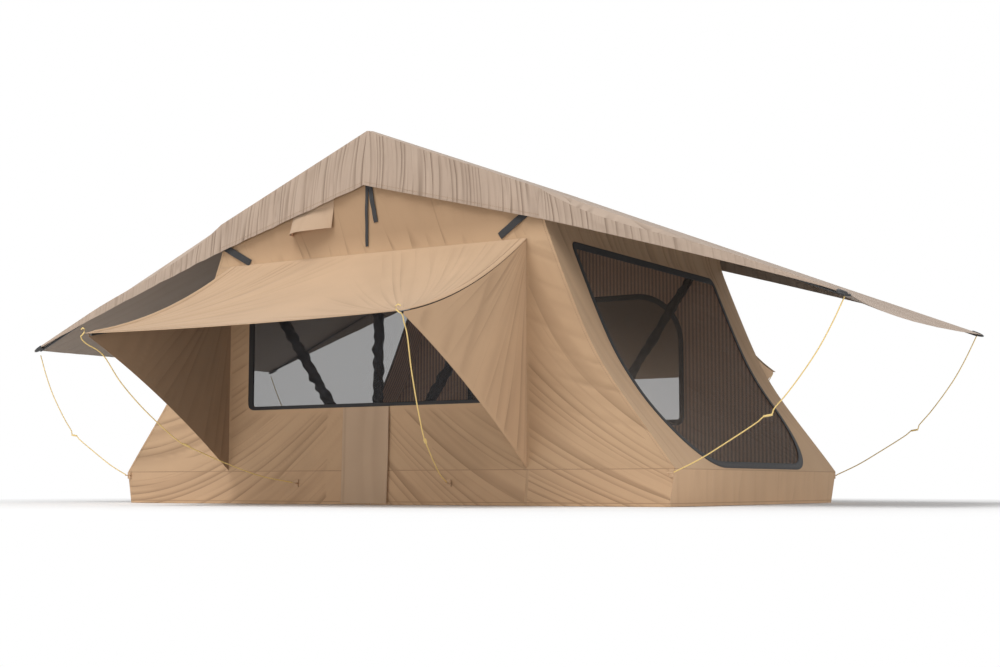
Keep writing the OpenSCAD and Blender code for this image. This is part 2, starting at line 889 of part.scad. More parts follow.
module right_runners() {
    color("black") both_sides() runner_on(fly_cord_route);
}

module left_runners() {
    color("black") left() both_sides() runner_on(fly_cord_route);
}

module front_right_awning_cord() {
    color("khaki") cord_on(awning_cord_route);
}

module front_left_awning_cord() {
    color("khaki") left() cord_on(awning_cord_route);
}

module back_right_awning_cord() {
    color("khaki") back() cord_on(awning_cord_route);
}

module back_left_awning_cord() {
    color("khaki") left() back() cord_on(awning_cord_route);
}

module front_right_runner() {
    color("black") runner_on(awning_cord_route);
}

module front_left_runner() {
    color("black") left() runner_on(awning_cord_route);
}

module back_right_runner() {
    color("black") back() runner_on(awning_cord_route);
}

module back_left_runner() {
    color("black") left() back() runner_on(awning_cord_route);
}

inner_rail();
outer_rail();
rail_bolts();
fixed_frame();
fixed_floor();
hinge_plates();
pivot_pins();
left_mattress();
left_skirt();
left_skirt_rings();
left_canopy();
left_meshes();
left_bindings();
hinge_flaps();
vent_hood();
left_fly_slope();
left_front_fly_cord();
left_back_fly_cord();
left_runners();
moving_frame();
moving_floor();
moving_brackets();
right_pivot_pins();
ladder_bracket();
right_mattress();
right_skirt();
right_skirt_rings();
right_canopy();
right_meshes();
right_bindings();
right_fly_slope();
right_front_fly_cord();
right_back_fly_cord();
right_runners();
left_bow();
left_bow_sleeves();
left_fly_end();
left_fly_rods();
ridge_bow();
ridge_bow_sleeves();
right_bow();
right_bow_sleeves();
right_fly_end();
right_fly_rods();
front_left_awning();
front_right_awning();
back_left_awning();
back_right_awning();
front_left_wing();
front_right_wing();
back_left_wing();
back_right_wing();
front_left_awning_cord();
front_right_awning_cord();
back_left_awning_cord();
back_right_awning_cord();
front_left_runner();
front_right_runner();
back_left_runner();
back_right_runner();
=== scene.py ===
"""Soft roof top tent: its cloth, cords, trim and finishes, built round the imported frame.

Metres. X runs along the bed, Y across it, Z up. The front is at negative y, and the hinge lies along Y at x = 0.
The left half (x below 0) is fixed, and the right half folds over onto it.
"""
import json
import math

import bmesh
import bpy
import numpy as np
from bpy.props import FloatProperty, FloatVectorProperty, PointerProperty
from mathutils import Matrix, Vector


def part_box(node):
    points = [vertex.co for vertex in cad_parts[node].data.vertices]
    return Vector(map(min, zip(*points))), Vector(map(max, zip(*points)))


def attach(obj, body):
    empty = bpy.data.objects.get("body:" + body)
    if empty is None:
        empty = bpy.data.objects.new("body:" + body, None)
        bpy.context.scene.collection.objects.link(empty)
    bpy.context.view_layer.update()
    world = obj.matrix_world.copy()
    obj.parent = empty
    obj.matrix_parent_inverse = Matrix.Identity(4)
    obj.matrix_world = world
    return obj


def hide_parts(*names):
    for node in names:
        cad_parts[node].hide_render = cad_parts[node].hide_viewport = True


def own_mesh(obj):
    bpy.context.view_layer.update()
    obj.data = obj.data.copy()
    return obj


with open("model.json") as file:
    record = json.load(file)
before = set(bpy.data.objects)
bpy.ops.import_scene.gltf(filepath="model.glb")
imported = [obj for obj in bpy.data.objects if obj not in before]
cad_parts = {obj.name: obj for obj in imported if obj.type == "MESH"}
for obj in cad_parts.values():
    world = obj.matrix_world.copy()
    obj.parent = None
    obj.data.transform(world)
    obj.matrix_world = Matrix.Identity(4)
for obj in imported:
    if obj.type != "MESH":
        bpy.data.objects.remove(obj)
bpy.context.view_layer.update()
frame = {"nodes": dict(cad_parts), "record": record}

bl_info = {
    "name": "Roof Top Tent",
    "version": (1, 0, 0),
    "blender": (4, 5, 0),
    "location": "View3D > Sidebar > Tent",
    "description": "Builds the cloth, cords and finishes of a soft roof top tent",
    "category": "Add Mesh",
}

SIDES = (("front", -1), ("back", 1))
HALVES = (("left", -1), ("right", 1))
BASE = {"left": "fixed_base", "right": "moving_base"}

# Fall of the roof and of the fly for each metre from the ridge
ROOF_SLOPE = 0.4
# Points across an end wall, its skirt and the roof
END_COLUMNS = 132
# Points along half a front or back wall
WALL_COLUMNS = 100
# How far the canvas is cut back from the edge of an opening
CUT_BACK = 0.003
# Width of the binding at the sill and at the head of an opening, as shares of its full width
WINDOW_TAPE = (0.6, 1.1)
INNER_TAPE = (1.1, 1.1)
DOOR_TAPE = (1.0, 1.2)
# Places of the two rows of stitches across the binding, and their height off the cloth
STITCH_ROWS = (0.14, 0.86)
STITCH_LIFT = 0.0024
# Diameter of the fly's rods and of the awnings' wands
ROD = 0.008
# Distance of the fly's rods from its edge
ROD_INSET = 0.018


def tint(red, green, blue):
    """Colour as seen on a screen, 0 to 255, as scene light."""
    parts = [c / 255 for c in (red, green, blue)]
    return [c / 12.92 if c <= 0.04045 else ((c + 0.055) / 1.055) ** 2.4 for c in parts]


def length(name, default, description):
    return FloatProperty(name=name, description=description, default=default, unit="LENGTH", precision=4)


def colour(name, rgb, description):
    return FloatVectorProperty(name=name, description=description, default=tint(*rgb), subtype="COLOR",
                               min=0, max=1)


class TentSizes(bpy.types.PropertyGroup):
    half_length: length("Half length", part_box("right_canopy")[1].x, "Half length of the base")
    half_depth: length("Half depth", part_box("right_canopy")[1].y, "Half depth of the canopy")
    skirt_top: length("Skirt top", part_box("right_skirt")[1].z, "Height of the top of the skirts")
    skirt_low: length("Skirt hem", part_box("right_skirt")[0].z, "Height of the hem of the skirts")
    skirt_lean: length("Skirt lean", 0.021, "Inward lean of the end skirts at the hem")
    roof_top: length("Roof top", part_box("right_canopy")[1].z, "Height of the canopy roof at the ridge")
    seam_height: length("Wall seam", 0.1235, "Height of the seam between walls and skirts")
    end_bend: length("End wall bend", 0.490, "Height at which the end walls bend most")
    end_waist: length("End wall waist", 0.9013, "Distance of that bend's lines from the ridge")
    end_lean: FloatProperty(name="End wall lean", description="Mean slope of the end walls", default=0.6062)
    end_turn: FloatProperty(name="End wall turn", description="Half the change of slope at the bend", default=0.2159)
    end_ease: length("End wall ease", 0.130, "Height over which the bend is spread")
    bow_line: length("Side bow line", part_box("right_fly_slope")[1].x, "Distance of the side bow seam from the ridge")
    window_half: length("Window half width", 0.556, "Half width of the windows")
    window_low: length("Window sill", 0.365, "Sill height of the windows")
    window_high: length("Window top", 0.880, "Top height of the windows")
    window_round: length("Window corner", 0.200, "Radius of the upper window corners")
    door_half: length("Door half width", 0.575, "Half width of the end doors")
    door_low: length("Door sill", 0.150, "Sill height of the end doors")
    door_high: length("Door top", 0.886, "Top height of the end doors")
    door_round: length("Door corner", 0.250, "Radius of the lower door corners")
    small_round: length("Small corner", 0.010, "Radius of the tight corners of the openings")
    binding: length("Binding", 0.022, "Width of the black binding round each opening")
    ridge: length("Ridge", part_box("right_fly_slope")[1].z, "Height of the fly at its ridge")
    fly_half: length("Fly half length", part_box("right_fly_end")[1].x, "Half length of the fly")
    fly_out: length("Fly half width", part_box("right_fly_slope")[1].y, "Half width of the fly")
    valance_ridge: length("Valance at ridge", 0.200, "Drop of the valance at the ridge")
    valance_side: length("Valance at side bows", 0.105, "Drop of the valance at the side bows")
    valance_end: length("Valance at corners", 0.003, "Drop of the valance at the fly corners")
    fly_sag: length("Fly end sag", 0.030, "Sag of the fly ends between their corners")
    fly_cut: length("Fly end cut", 0.060, "Inward curve of the fly end edges")
    fly_shoulder: length("Fly shoulder", 0.026, "Drop of the fly's edge outside its rods")
    ridge_lean: length("Ridge lean", 0.015, "How far left of the middle the fly's ridge lies")
    fly_shift: length("Fly shift", 0.026, "How much the fly's ends lie to the right of the tent's middle")
    fly_left_droop: length("Left fly droop", 0.030, "How much lower the left fly corners hang")
    awning_high: length("Awning line", 0.910, "Height of the awning line on the walls")
    awning_reach: length("Awning reach", 0.744, "Reach of the awnings from the walls")
    awning_fall: length("Awning fall", 0.320, "Fall of the awnings from wall to tip")
    awning_hollow: length("Awning hollow", 0.045, "Hollow of the awnings along their reach")
    awning_sag: length("Awning sag", 0.008, "Sag of the awning front edges")
    awning_left: length("Awning left width", 0.676, "Width of the left awning halves at the wall")
    awning_right: length("Awning right width", 0.654, "Width of the right awning halves at the wall")
    awning_flare: length("Awning flare", 0.003, "Extra width of the awning halves at their tips")
    wing_cut: length("Wing cut", 0.028, "Inward curve of the free edge of the wings")
    cloth: length("Cloth", 0.0012, "Thickness of the cloth")
    cord: length("Cord", 0.004, "Diameter of the guy cords")
    stitch: length("Stitch pitch", 0.008, "Distance between stitches")


class TentColours(bpy.types.PropertyGroup):
    canopy: colour("Canopy", (192, 160, 127), "Tan canvas of the walls")
    skirt: colour("Skirt", (194, 161, 128), "Coated canvas of the skirts")
    awning: colour("Awning", (195, 163, 130), "Lighter canvas of the awnings")
    hood: colour("Hood", (183, 156, 130), "Pale canvas of the vent hood")
    # The wings' outer face is the canopy tan made a little darker, and their inner face much darker: painted shade
    # from the awning above them.
    wing: colour("Wing", (187, 155, 123), "Outer face of the awning wings")
    wing_lining: colour("Wing lining", (154, 129, 104), "Inner face of the awning wings")
    flap: colour("Flap", (186, 160, 134), "Greyer canvas of the hinge flaps")
    fly: colour("Fly", (181, 161, 144), "Coated cloth of the fly")
    lining: colour("Lining", (210, 170, 140), "Inside of the canopy")
    fly_lining: colour("Fly lining", (148, 134, 121), "Underside of the fly")
    window_mesh: colour("Window mesh", (56, 56, 59), "Insect mesh of the windows")
    door_mesh: colour("Door mesh", (98, 95, 94), "Insect mesh of the doors")
    binding: colour("Binding", (40, 40, 42), "Woven tape round the openings")
    sleeve: colour("Sleeve", (18, 18, 19), "Gathered sleeves on the bows")
    cord: colour("Cord", (226, 196, 124), "Braided guy cord")
    mattress: colour("Mattress", (112, 114, 118), "Woven mattress cover")


def sizes():
    return bpy.context.scene.tent_sizes


def colours():
    return bpy.context.scene.tent_colours


# Shapes of the tent's surfaces

def roof_height(x):
    return sizes().roof_top - ROOF_SLOPE * np.abs(x)


def fly_height(x):
    return sizes().ridge - ROOF_SLOPE * np.abs(x)


def end_wall_x(z):
    """Distance of an end wall from the ridge: it leans in from its foot, bends and steepens towards the bow."""
    s = sizes()
    bow_ease, foot_ease, upper = 0.012, 0.08, 0.9

    def hang(z):
        up = z - s.end_bend
        beyond = s.end_waist - s.end_lean * up + s.end_turn * np.hypot(up, s.end_ease) - s.bow_line
        return s.bow_line + (beyond + np.hypot(beyond, bow_ease)) / 2

    foot, head = s.seam_height, float(roof_height(s.bow_line))
    x = hang(z) + (s.half_length - hang(foot)) * np.exp(-np.maximum(z - foot, 0) / foot_ease)
    return x + (s.bow_line - hang(head)) * fade(z, upper, head)


def end_wall_point(y, z, lift=0.0):
    """Point on the right end wall at a height, moved out of the wall by lift."""
    step = 1e-3
    x = end_wall_x(z)
    slope = (end_wall_x(z + step) - end_wall_x(z - step)) / (2 * step)
    far = lift / np.hypot(1, slope)
    return np.stack([x + far, y + 0 * x, z - slope * far], -1)


def awning_line(a):
    s = sizes()
    return s.awning_high - s.awning_fall * a - s.awning_hollow * 4 * a * (1 - a)


def awning_edge(a, hx):
    s = sizes()
    return (s.awning_left if hx < 0 else s.awning_right) + s.awning_flare * a


def awning_out(a):
    return sizes().half_depth + 0.0003 + sizes().awning_reach * a


def valance_drop(x):
    s = sizes()
    x = np.abs(x)
    inner = s.valance_ridge + (s.valance_side - s.valance_ridge) * x / s.bow_line
    outer = s.valance_end + (s.valance_side - s.valance_end) * fade(x, s.fly_half, s.bow_line) ** 1.2
    return np.where(x < s.bow_line, inner, outer)


def ridge_lean(x, down):
    """How far the fly near its ridge lies to the left, from its top (0) to the hem of its valance (1)."""
    s = sizes()
    return s.ridge_lean * (1 + down) * fade(x, s.bow_line, 0)


def fly_reach(hx):
    return sizes().fly_half + hx * sizes().fly_shift


def fly_droop(hx, x):
    """How much lower than the roof's slope a fly end hangs."""
    s = sizes()
    return s.fly_left_droop * np.clip((x - s.bow_line) / (fly_reach(hx) - s.bow_line), 0, 1) if hx < 0 else 0 * x


def fly_shoulder(x):
    """Drop of the fly's edge outside its rods, between the side bow and the corner."""
    s = sizes()
    span, to_one = 0.72, 27 / 4
    t = np.clip((np.abs(x) - s.bow_line) / span, 0, 1)
    return s.fly_shoulder * to_one * t * (1 - t) ** 2


def opening_distance(across, up, half, low, high, low_round, high_round):
    """Distance to the edge of a rounded opening, negative inside it."""
    middle = (low + high) / 2
    r = np.where(up > middle, high_round, low_round)
    dx, dz = np.abs(across) - half + r, np.abs(up - middle) - (high - low) / 2 + r
    return np.hypot(np.maximum(dx, 0), np.maximum(dz, 0)) + np.minimum(np.maximum(dx, dz), 0) - r


def window_shape(sy):
    """Half width, sill, top and corner radii of a window; the back ones are a little smaller and lower."""
    s = sizes()
    less, lower, under = (0.034, 0.018, 0.011) if sy > 0 else (0, 0, 0)
    return s.window_half - less, s.window_low - lower, s.window_high - under, s.small_round, s.window_round


def door_shape():
    s = sizes()
    return s.door_half, s.door_low, s.door_high, s.door_round, s.small_round


def opening_outline(half, low, high, low_round, high_round, step=0.02):
    """Points and outward directions round an opening, counterclockwise from the middle of its sill."""
    points, outs = [], []

    def straight(a, b, out):
        n = max(2, int(np.linalg.norm(np.subtract(b, a)) / step))
        for k in range(n):
            points.append(np.add(a, np.subtract(b, a) * (k / n)))
            outs.append(out)

    def corner(centre, r, start):
        n = max(4, int(r * math.pi / 2 / step))
        for k in range(n):
            angle = start + math.pi / 2 * k / n
            out = (math.cos(angle), math.sin(angle))
            points.append(np.add(centre, np.multiply(out, r)))
            outs.append(out)

    straight((0, low), (half - low_round, low), (0, -1))
    corner((half - low_round, low + low_round), low_round, -math.pi / 2)
    straight((half, low + low_round), (half, high - high_round), (1, 0))
    corner((half - high_round, high - high_round), high_round, 0)
    straight((half - high_round, high), (0, high), (0, 1))
    n = len(points)
    points.append(np.array((0.0, high)))
    outs.append((0, 1))
    for k in range(n - 1, 0, -1):
        points.append(points[k] * (-1, 1))
        outs.append((-outs[k][0], outs[k][1]))
    return np.array(points), np.array(outs, float)


def binding_width(outs, sill, head):
    """Width of the tape beside an opening, from its shares of the full width at the sill and at the head."""
    up = outs[:, 1]
    return sizes().binding * np.where(up < 0, 1 + (sill - 1) * up * up, 1 + (head - 1) * up * up)


def half_window(sy, step=0.02):
    """Outline of the right half of a window, from the middle of its sill to the middle of its head."""
    points, outs = opening_outline(*window_shape(sy), step=step)
    count = len(points) // 2 + 1
    return points[:count], outs[:count]


# Folds in the cloth

def wall_seed(number, k):
    """Seed of the folds that a wall of a half shares with the skirt below it."""
    return 11 + 20 * number + 5 * k


def folds(across, along, seed, spacing, width, reach):
    """Soft fold lines: 0 on smooth cloth and 1 in the deepest fold, steep on one side and easy on the other."""
    draw = np.random.default_rng(seed)
    depth = np.zeros(across.shape)
    at, low, high = across.min() - spacing, along.min(), along.max()
    while at < across.max():
        at += spacing * draw.uniform(0.35, 1.9)
        w, strength = width * draw.uniform(0.6, 1.7), draw.uniform(0.2, 1.0) ** 1.3
        middle, half, turn = draw.uniform(low, high), reach * draw.uniform(0.5, 1.5), draw.choice((-1, 1))
        off = turn * (across - at) / w
        fall = np.where(off < 0, np.exp(-off * off), np.exp(-(off / 2.8) ** 2))
        depth = np.maximum(depth, strength * fall * np.exp(-((along - middle) / half) ** 4))
    return depth


def wall_folds(x, z, seed):
    """Folds of a front or back wall: arcs that fall away from the hinge below, leaning streaks above."""
    far = np.abs(x)
    low = folds(z - 0.5 * (far - 1.15) ** 2, far, seed, spacing=0.030, width=0.0065, reach=0.35)
    high = folds(x + 0.35 * (z - 1.1), z, seed + 1, spacing=0.045, width=0.008, reach=0.16)
    below = np.clip((0.50 - z) / 0.16, 0, 1) + 0.55 * np.clip((far - 0.60) / 0.08, 0, 1) * (z < 0.9)
    above = np.clip((z - 0.82) / 0.10, 0, 1)
    return np.clip(np.maximum(low * np.clip(below, 0, 1), 0.8 * high * above), 0, 1)


def end_folds(y, z, seed):
    """Folds of an end wall: short upright creases below its top seam, long easy ones beside the door."""
    top = folds(y + 0.1 * (z - 1), z, seed, spacing=0.050, width=0.006, reach=0.25)
    side = folds(y + 0.25 * (z - 0.5), z, seed + 1, spacing=0.060, width=0.010, reach=0.40)
    return np.clip(np.maximum(top * np.clip((z - 0.86) / 0.08, 0, 1), 0.5 * side), 0, 1)


def drape(across, along, strength, pitch, run):
    """Place across and along the drape lines, counted in lines, and how strong the lines are there."""
    return np.stack(np.broadcast_arrays(across / pitch, along / run, strength), -1)


def fade(value, none, full):
    """0 at one value and 1 at another, level beyond them."""
    return np.clip((value - none) / (full - none), 0, 1)


def wall_drape(x, z, seed):
    """Drape lines of a front or back wall.

    Below the windows they are arcs that fall away from the hinge, past the right awning they steepen
    towards the corner, and above the awnings they lean.
    """
    s = sizes()
    far = np.abs(x)
    across, along = (z - 0.42 * (far - 1.2) ** 2) / 0.036, far / 1.1
    strength = fade(z, 0.62, 0.45) + 0.5 * fade(far, 0.57, 0.60)
    strength = strength * np.where((x > -0.20) & (x < 0.075) & (z < 0.40), 0, 1)
    steep = x > 0.650
    across = np.where(steep, (x - end_wall_x(z) - 0.1925 * np.exp((0.25 - z) / 0.25)) / 0.055, across)
    along = np.where(steep, z / 0.9, along)
    strength = np.where(steep, 0.35 + 0.65 * fade(z, 0.85, 0.35), strength) * np.where(
        z > s.seam_height, fade(np.abs(far - np.where(x > 0, 0.650, 0.672)), 0.004, 0.014), 1)
    above = (z > 0.91) & ~steep
    across = np.where(above, (x + 0.42 * (z - 1.1)) / 0.048, across)
    along = np.where(above, z / 0.45, along)
    strength = np.where(above, 0.5 + 0.5 * fade(far, 0.62, 0.30), strength)
    return np.stack([across, along + 3.7 * seed, np.clip(strength, 0, 1)], -1)


# Mesh helpers

def patch(points, uv, fold=None, keep=None, out=None, lines=None):
    """Grid of quads with its cloth coordinates, folds and drape lines, turned so that its faces look along out."""
    n, m = points.shape[:2]
    fold = np.zeros((n, m)) if fold is None else fold
    lines = np.zeros((n, m, 3)) if lines is None else lines
    keep = np.ones((n - 1, m - 1), bool) if keep is None else keep
    spot = np.arange(n * m).reshape(n, m)
    quads = np.stack([spot[:-1, :-1], spot[1:, :-1], spot[1:, 1:], spot[:-1, 1:]], -1)[keep]
    if out is not None:
        p = points.reshape(-1, 3)
        facing = np.cross(p[quads[:, 2]] - p[quads[:, 0]], p[quads[:, 3]] - p[quads[:, 1]]).sum(0)
        if facing @ np.array(out) < 0:
            quads = quads[:, ::-1]
    return points.reshape(-1, 3), uv.reshape(-1, 2), fold.reshape(-1), lines.reshape(-1, 3), quads


def cloth_object(name, patches, materials, sharp):
    """One object from several patches, joined where their edges meet."""
    start = np.cumsum([0] + [len(p[0]) for p in patches])
    quads = np.concatenate([p[4] + o for p, o in zip(patches, start)])
    used, quads = np.unique(quads, return_inverse=True)
    quads = quads.reshape(-1, 4)
    points, uv, fold, lines = (np.concatenate([p[k] for p in patches])[used].astype(np.float32)
                               for k in range(4))
    mesh = bpy.data.meshes.new(name)
    mesh.from_pydata(points.tolist(), [], quads.tolist())
    for label, spots in (("cloth", uv), ("drape", lines[:, :2])):
        mesh.uv_layers.new(name=label).data.foreach_set("uv", spots[quads.ravel()].ravel())
    for label, values in (("fold", fold), ("streak", lines[:, 2])):
        layer = mesh.attributes.new(label, "FLOAT", "POINT")
        layer.data.foreach_set("value", np.ascontiguousarray(values))
    made = bmesh.new()
    made.from_mesh(mesh)
    bmesh.ops.remove_doubles(made, verts=made.verts, dist=1e-5)
    bmesh.ops.dissolve_degenerate(made, edges=made.edges, dist=1e-6)
    made.to_mesh(mesh)
    made.free()
    mesh.shade_smooth()
    mesh.set_sharp_from_angle(angle=math.radians(sharp))
    mark_rims(mesh)
    for material in materials:
        mesh.materials.append(material)
    return linked(name, mesh)


def linked(name, data):
    """Object of that name in the scene."""
    made = bpy.data.objects.new(name, data)
    bpy.context.scene.collection.objects.link(made)
    return made


def mark_rims(mesh):
    """Marks the free edges of cloth sharp, so that its faces shade evenly right up to them."""
    sides, marks = np.empty(len(mesh.loops), np.int32), np.zeros(len(mesh.edges), bool)
    mesh.loops.foreach_get("edge_index", sides)
    hard = mesh.attributes.get("sharp_edge")
    if hard is None:
        hard = mesh.attributes.new("sharp_edge", "BOOLEAN", "EDGE")
    hard.data.foreach_get("value", marks)
    hard.data.foreach_set("value", marks | (np.bincount(sides, minlength=len(marks)) == 1))


def thicken(piece, thickness):
    """Gives cloth its thickness, inwards, with its lining on the inside."""
    shell = piece.modifiers.new("Thickness", "SOLIDIFY")
    shell.thickness, shell.offset, shell.material_offset = thickness, -1, 1
    shell.use_even_offset = False


def swept(route, section, twist_up):
    """Rings of a section's points (side, up) along a route, as a grid of points."""
    ahead = np.gradient(route, axis=0)
    ahead /= np.linalg.norm(ahead, axis=1)[:, None]
    side = np.cross(np.asarray(twist_up, float), ahead)
    side /= np.linalg.norm(side, axis=1)[:, None]
    up = np.cross(ahead, side)
    section = np.broadcast_to(section, (len(route),) + section.shape[-2:])
    return route[:, None] + section[..., :1] * side[:, None] + section[..., 1:] * up[:, None]


def ring(diameter, sides=12):
    angle = np.linspace(0, 2 * math.pi, sides + 1)
    return np.stack([np.cos(angle), np.sin(angle)], -1) * diameter / 2


def round_box(sides):
    """Square section with rounded corners, 2 wide."""
    angle = np.linspace(0, 2 * math.pi, sides + 1)
    return np.stack([np.sign(c) * np.abs(c) ** 0.6 for c in (np.cos(angle), np.sin(angle))], -1)


def walked(points):
    """Distance along a row of points, from the first to each."""
    return np.concatenate([[0], np.cumsum(np.linalg.norm(np.diff(points, axis=0), axis=1))])


def tube_patches(route, section, twist_up=(0, 0, 1)):
    """Closed tube along a route with flat ends, as patches."""
    grid = swept(route, section, twist_up)
    n, m = grid.shape[:2]
    uv = np.stack(np.broadcast_arrays(walked(route)[:, None], np.linspace(0, 1, m)[None]), -1)
    body = patch(grid, uv)
    p, q = body[0], body[4]
    middle = np.repeat(grid.mean(1, keepdims=True), m, 1).reshape(-1, 3)
    outward = ((p[q].mean(1) - middle[q].mean(1))
               * np.cross(p[q[:, 2]] - p[q[:, 0]], p[q[:, 3]] - p[q[:, 1]])).sum()
    made = [body[:4] + (q[:, ::-1] if outward < 0 else q,)]
    ahead = np.gradient(route, axis=0)
    for k, sign in ((0, -1), (n - 1, 1)):
        cap = np.stack([grid[k], np.repeat(grid[k].mean(0, keepdims=True), m, 0)])
        made.append(patch(cap, np.zeros((2, m, 2)), out=sign * ahead[k]))
    return made


def smooth_route(points, count):
    """Points evenly along a smooth curve through a route."""
    ends = np.concatenate([[2 * points[0] - points[1]], points, [2 * points[-1] - points[-2]]])
    t = np.linspace(0, 1, 24, endpoint=False)[:, None]
    fine = []
    for k in range(len(points) - 1):
        a, b, c, d = ends[k:k + 4]
        fine.append(0.5 * (2 * b + (c - a) * t + (2 * a - 5 * b + 4 * c - d) * t ** 2
                           + (3 * b - a - 3 * c + d) * t ** 3))
    fine = np.concatenate(fine + [points[-1:]])
    run = walked(fine)
    at = np.linspace(0, run[-1], count)
    return np.stack([np.interp(at, run, fine[:, k]) for k in range(3)], -1)


def mirrored(points, half, side):
    """Points drawn at the right, with the sign of a half given to x and another to y."""
    return points * np.array([half, side, 1.0])


# Materials

def feed(tree, sockets, values):
    """Links the values that are outputs to their sockets, and sets the others there."""
    for key, value in values.items():
        if hasattr(value, "is_output"):
            tree.links.new(value, sockets[key])
        else:
            sockets[key].default_value = value


def node(tree, kind, values=None, **settings):
    """Node with its settings made first and its inputs fed after them."""
    made = tree.nodes.new(kind)
    for key, value in settings.items():
        setattr(made, key, value)
    feed(tree, made.inputs, values or {})
    return made


def new_material(name):
    material = bpy.data.materials.new(name)
    material.use_nodes = True
    tree = material.node_tree
    tree.nodes.clear()
    skin = node(tree, "ShaderNodeBsdfPrincipled")
    node(tree, "ShaderNodeOutputMaterial", {0: skin.outputs[0]})
    return material, tree, skin


def cloth_place(tree, layer="cloth"):
    return node(tree, "ShaderNodeUVMap", uv_map=layer).outputs[0]


def object_place(tree):
    return node(tree, "ShaderNodeTexCoord").outputs["Object"]


def attribute(tree, name):
    return node(tree, "ShaderNodeAttribute", attribute_name=name).outputs["Fac"]


def mixed(tree, kind, factor, a, b):
    """Mix of two colours."""
    made = node(tree, "ShaderNodeMix", {0: factor, 6: a, 7: b}, data_type="RGBA", blend_type=kind)
    return made.outputs[2]


def math_node(tree, kind, *values, clamp=False):
    return node(tree, "ShaderNodeMath", dict(enumerate(values)), operation=kind, use_clamp=clamp).outputs[0]


def between(tree, value, low, high):
    """0 below one value, 1 above another and a ramp between them."""
    made = node(tree, "ShaderNodeMapRange", {"Value": value, "From Min": low, "From Max": high})
    return made.outputs["Result"]


def strongest(tree, lines):
    """The greatest of several values."""
    total = lines[0]
    for line in lines[1:]:
        total = math_node(tree, "MAXIMUM", total, line)
    return total


def bands(tree, place, pitch, axis="X", wobble=0.0, detail_scale=1.0):
    """Even bands across an axis, 0 to 1."""
    made = node(tree, "ShaderNodeTexWave", {
        "Vector": place, "Scale": math.pi / 10 / pitch, "Distortion": wobble, "Detail": 1,
        "Detail Scale": detail_scale}, wave_type="BANDS", bands_direction=axis)
    return made.outputs["Fac"]


def noise(tree, place, stretch, detail, dimensions="3D"):
    """Noise with its own scale along each axis, 0 to 1."""
    moved = node(tree, "ShaderNodeMapping", {"Vector": place, "Scale": stretch})
    made = node(tree, "ShaderNodeTexNoise", {"Vector": moved.outputs[0], "Scale": 1, "Detail": detail},
                noise_dimensions=dimensions)
    return made.outputs["Fac"]


def bumped(tree, height, strength, distance, **settings):
    made = node(tree, "ShaderNodeBump", {"Height": height, "Strength": strength, "Distance": distance},
                **settings)
    return made.outputs[0]


def weave(tree, uv, pitch):
    """Plain weave of two sets of threads, 0 to 1."""
    return math_node(tree, "MULTIPLY", *(bands(tree, uv, pitch, axis, 0.6, 0.5) for axis in "XY"))


def rgba(c, times=1.0):
    return tuple(min(1, x * times) for x in c[:3]) + (1,)


# Two layers of drape lines: their count, bend, sharpness and weight, and the noise between which they come in
DRAPE_LAYERS = ((1.0, 3.0, 2.2, 1.0, 0.37, 0.62), (2.3, 4.0, 3.0, 0.42, 0.50, 0.74))


def drape_lines(tree):
    """Drape lines, 0 to 1, painted as the shade of creases: each sharp on one side and easing off on the other,
    uneven in spacing and strength.
    """
    place = cloth_place(tree, "drape")
    across = node(tree, "ShaderNodeSeparateXYZ", {0: place}).outputs[0]
    layers = []
    for count, warp, sharp, weight, low, high in DRAPE_LAYERS:
        bend = math_node(tree, "MULTIPLY", noise(tree, place, (0.3 * count, 0.6, 1), 1, "2D"), warp)
        phase = math_node(tree, "ADD", math_node(tree, "MULTIPLY", across, count), bend)
        saw = math_node(tree, "SUBTRACT", 1.0, math_node(tree, "FRACT", phase))
        strong = between(tree, noise(tree, place, (0.7 * count, 0.8, 1), 1, "2D"), low, high)
        line = math_node(tree, "MULTIPLY", math_node(tree, "POWER", saw, sharp), strong)
        layers.append(math_node(tree, "MULTIPLY", line, weight))
    return math_node(tree, "MULTIPLY", strongest(tree, layers), attribute(tree, "streak"), clamp=True)


def seam_lines(tree, uv, heights):
    """Thin dark lines at heights on the cloth, 0 to 1."""
    up = node(tree, "ShaderNodeSeparateXYZ", {0: uv}).outputs[1]
    offs = (math_node(tree, "ABSOLUTE", math_node(tree, "SUBTRACT", up, height)) for height in heights)
    return strongest(tree, [between(tree, off, 0.0022, 0.0008) for off in offs])


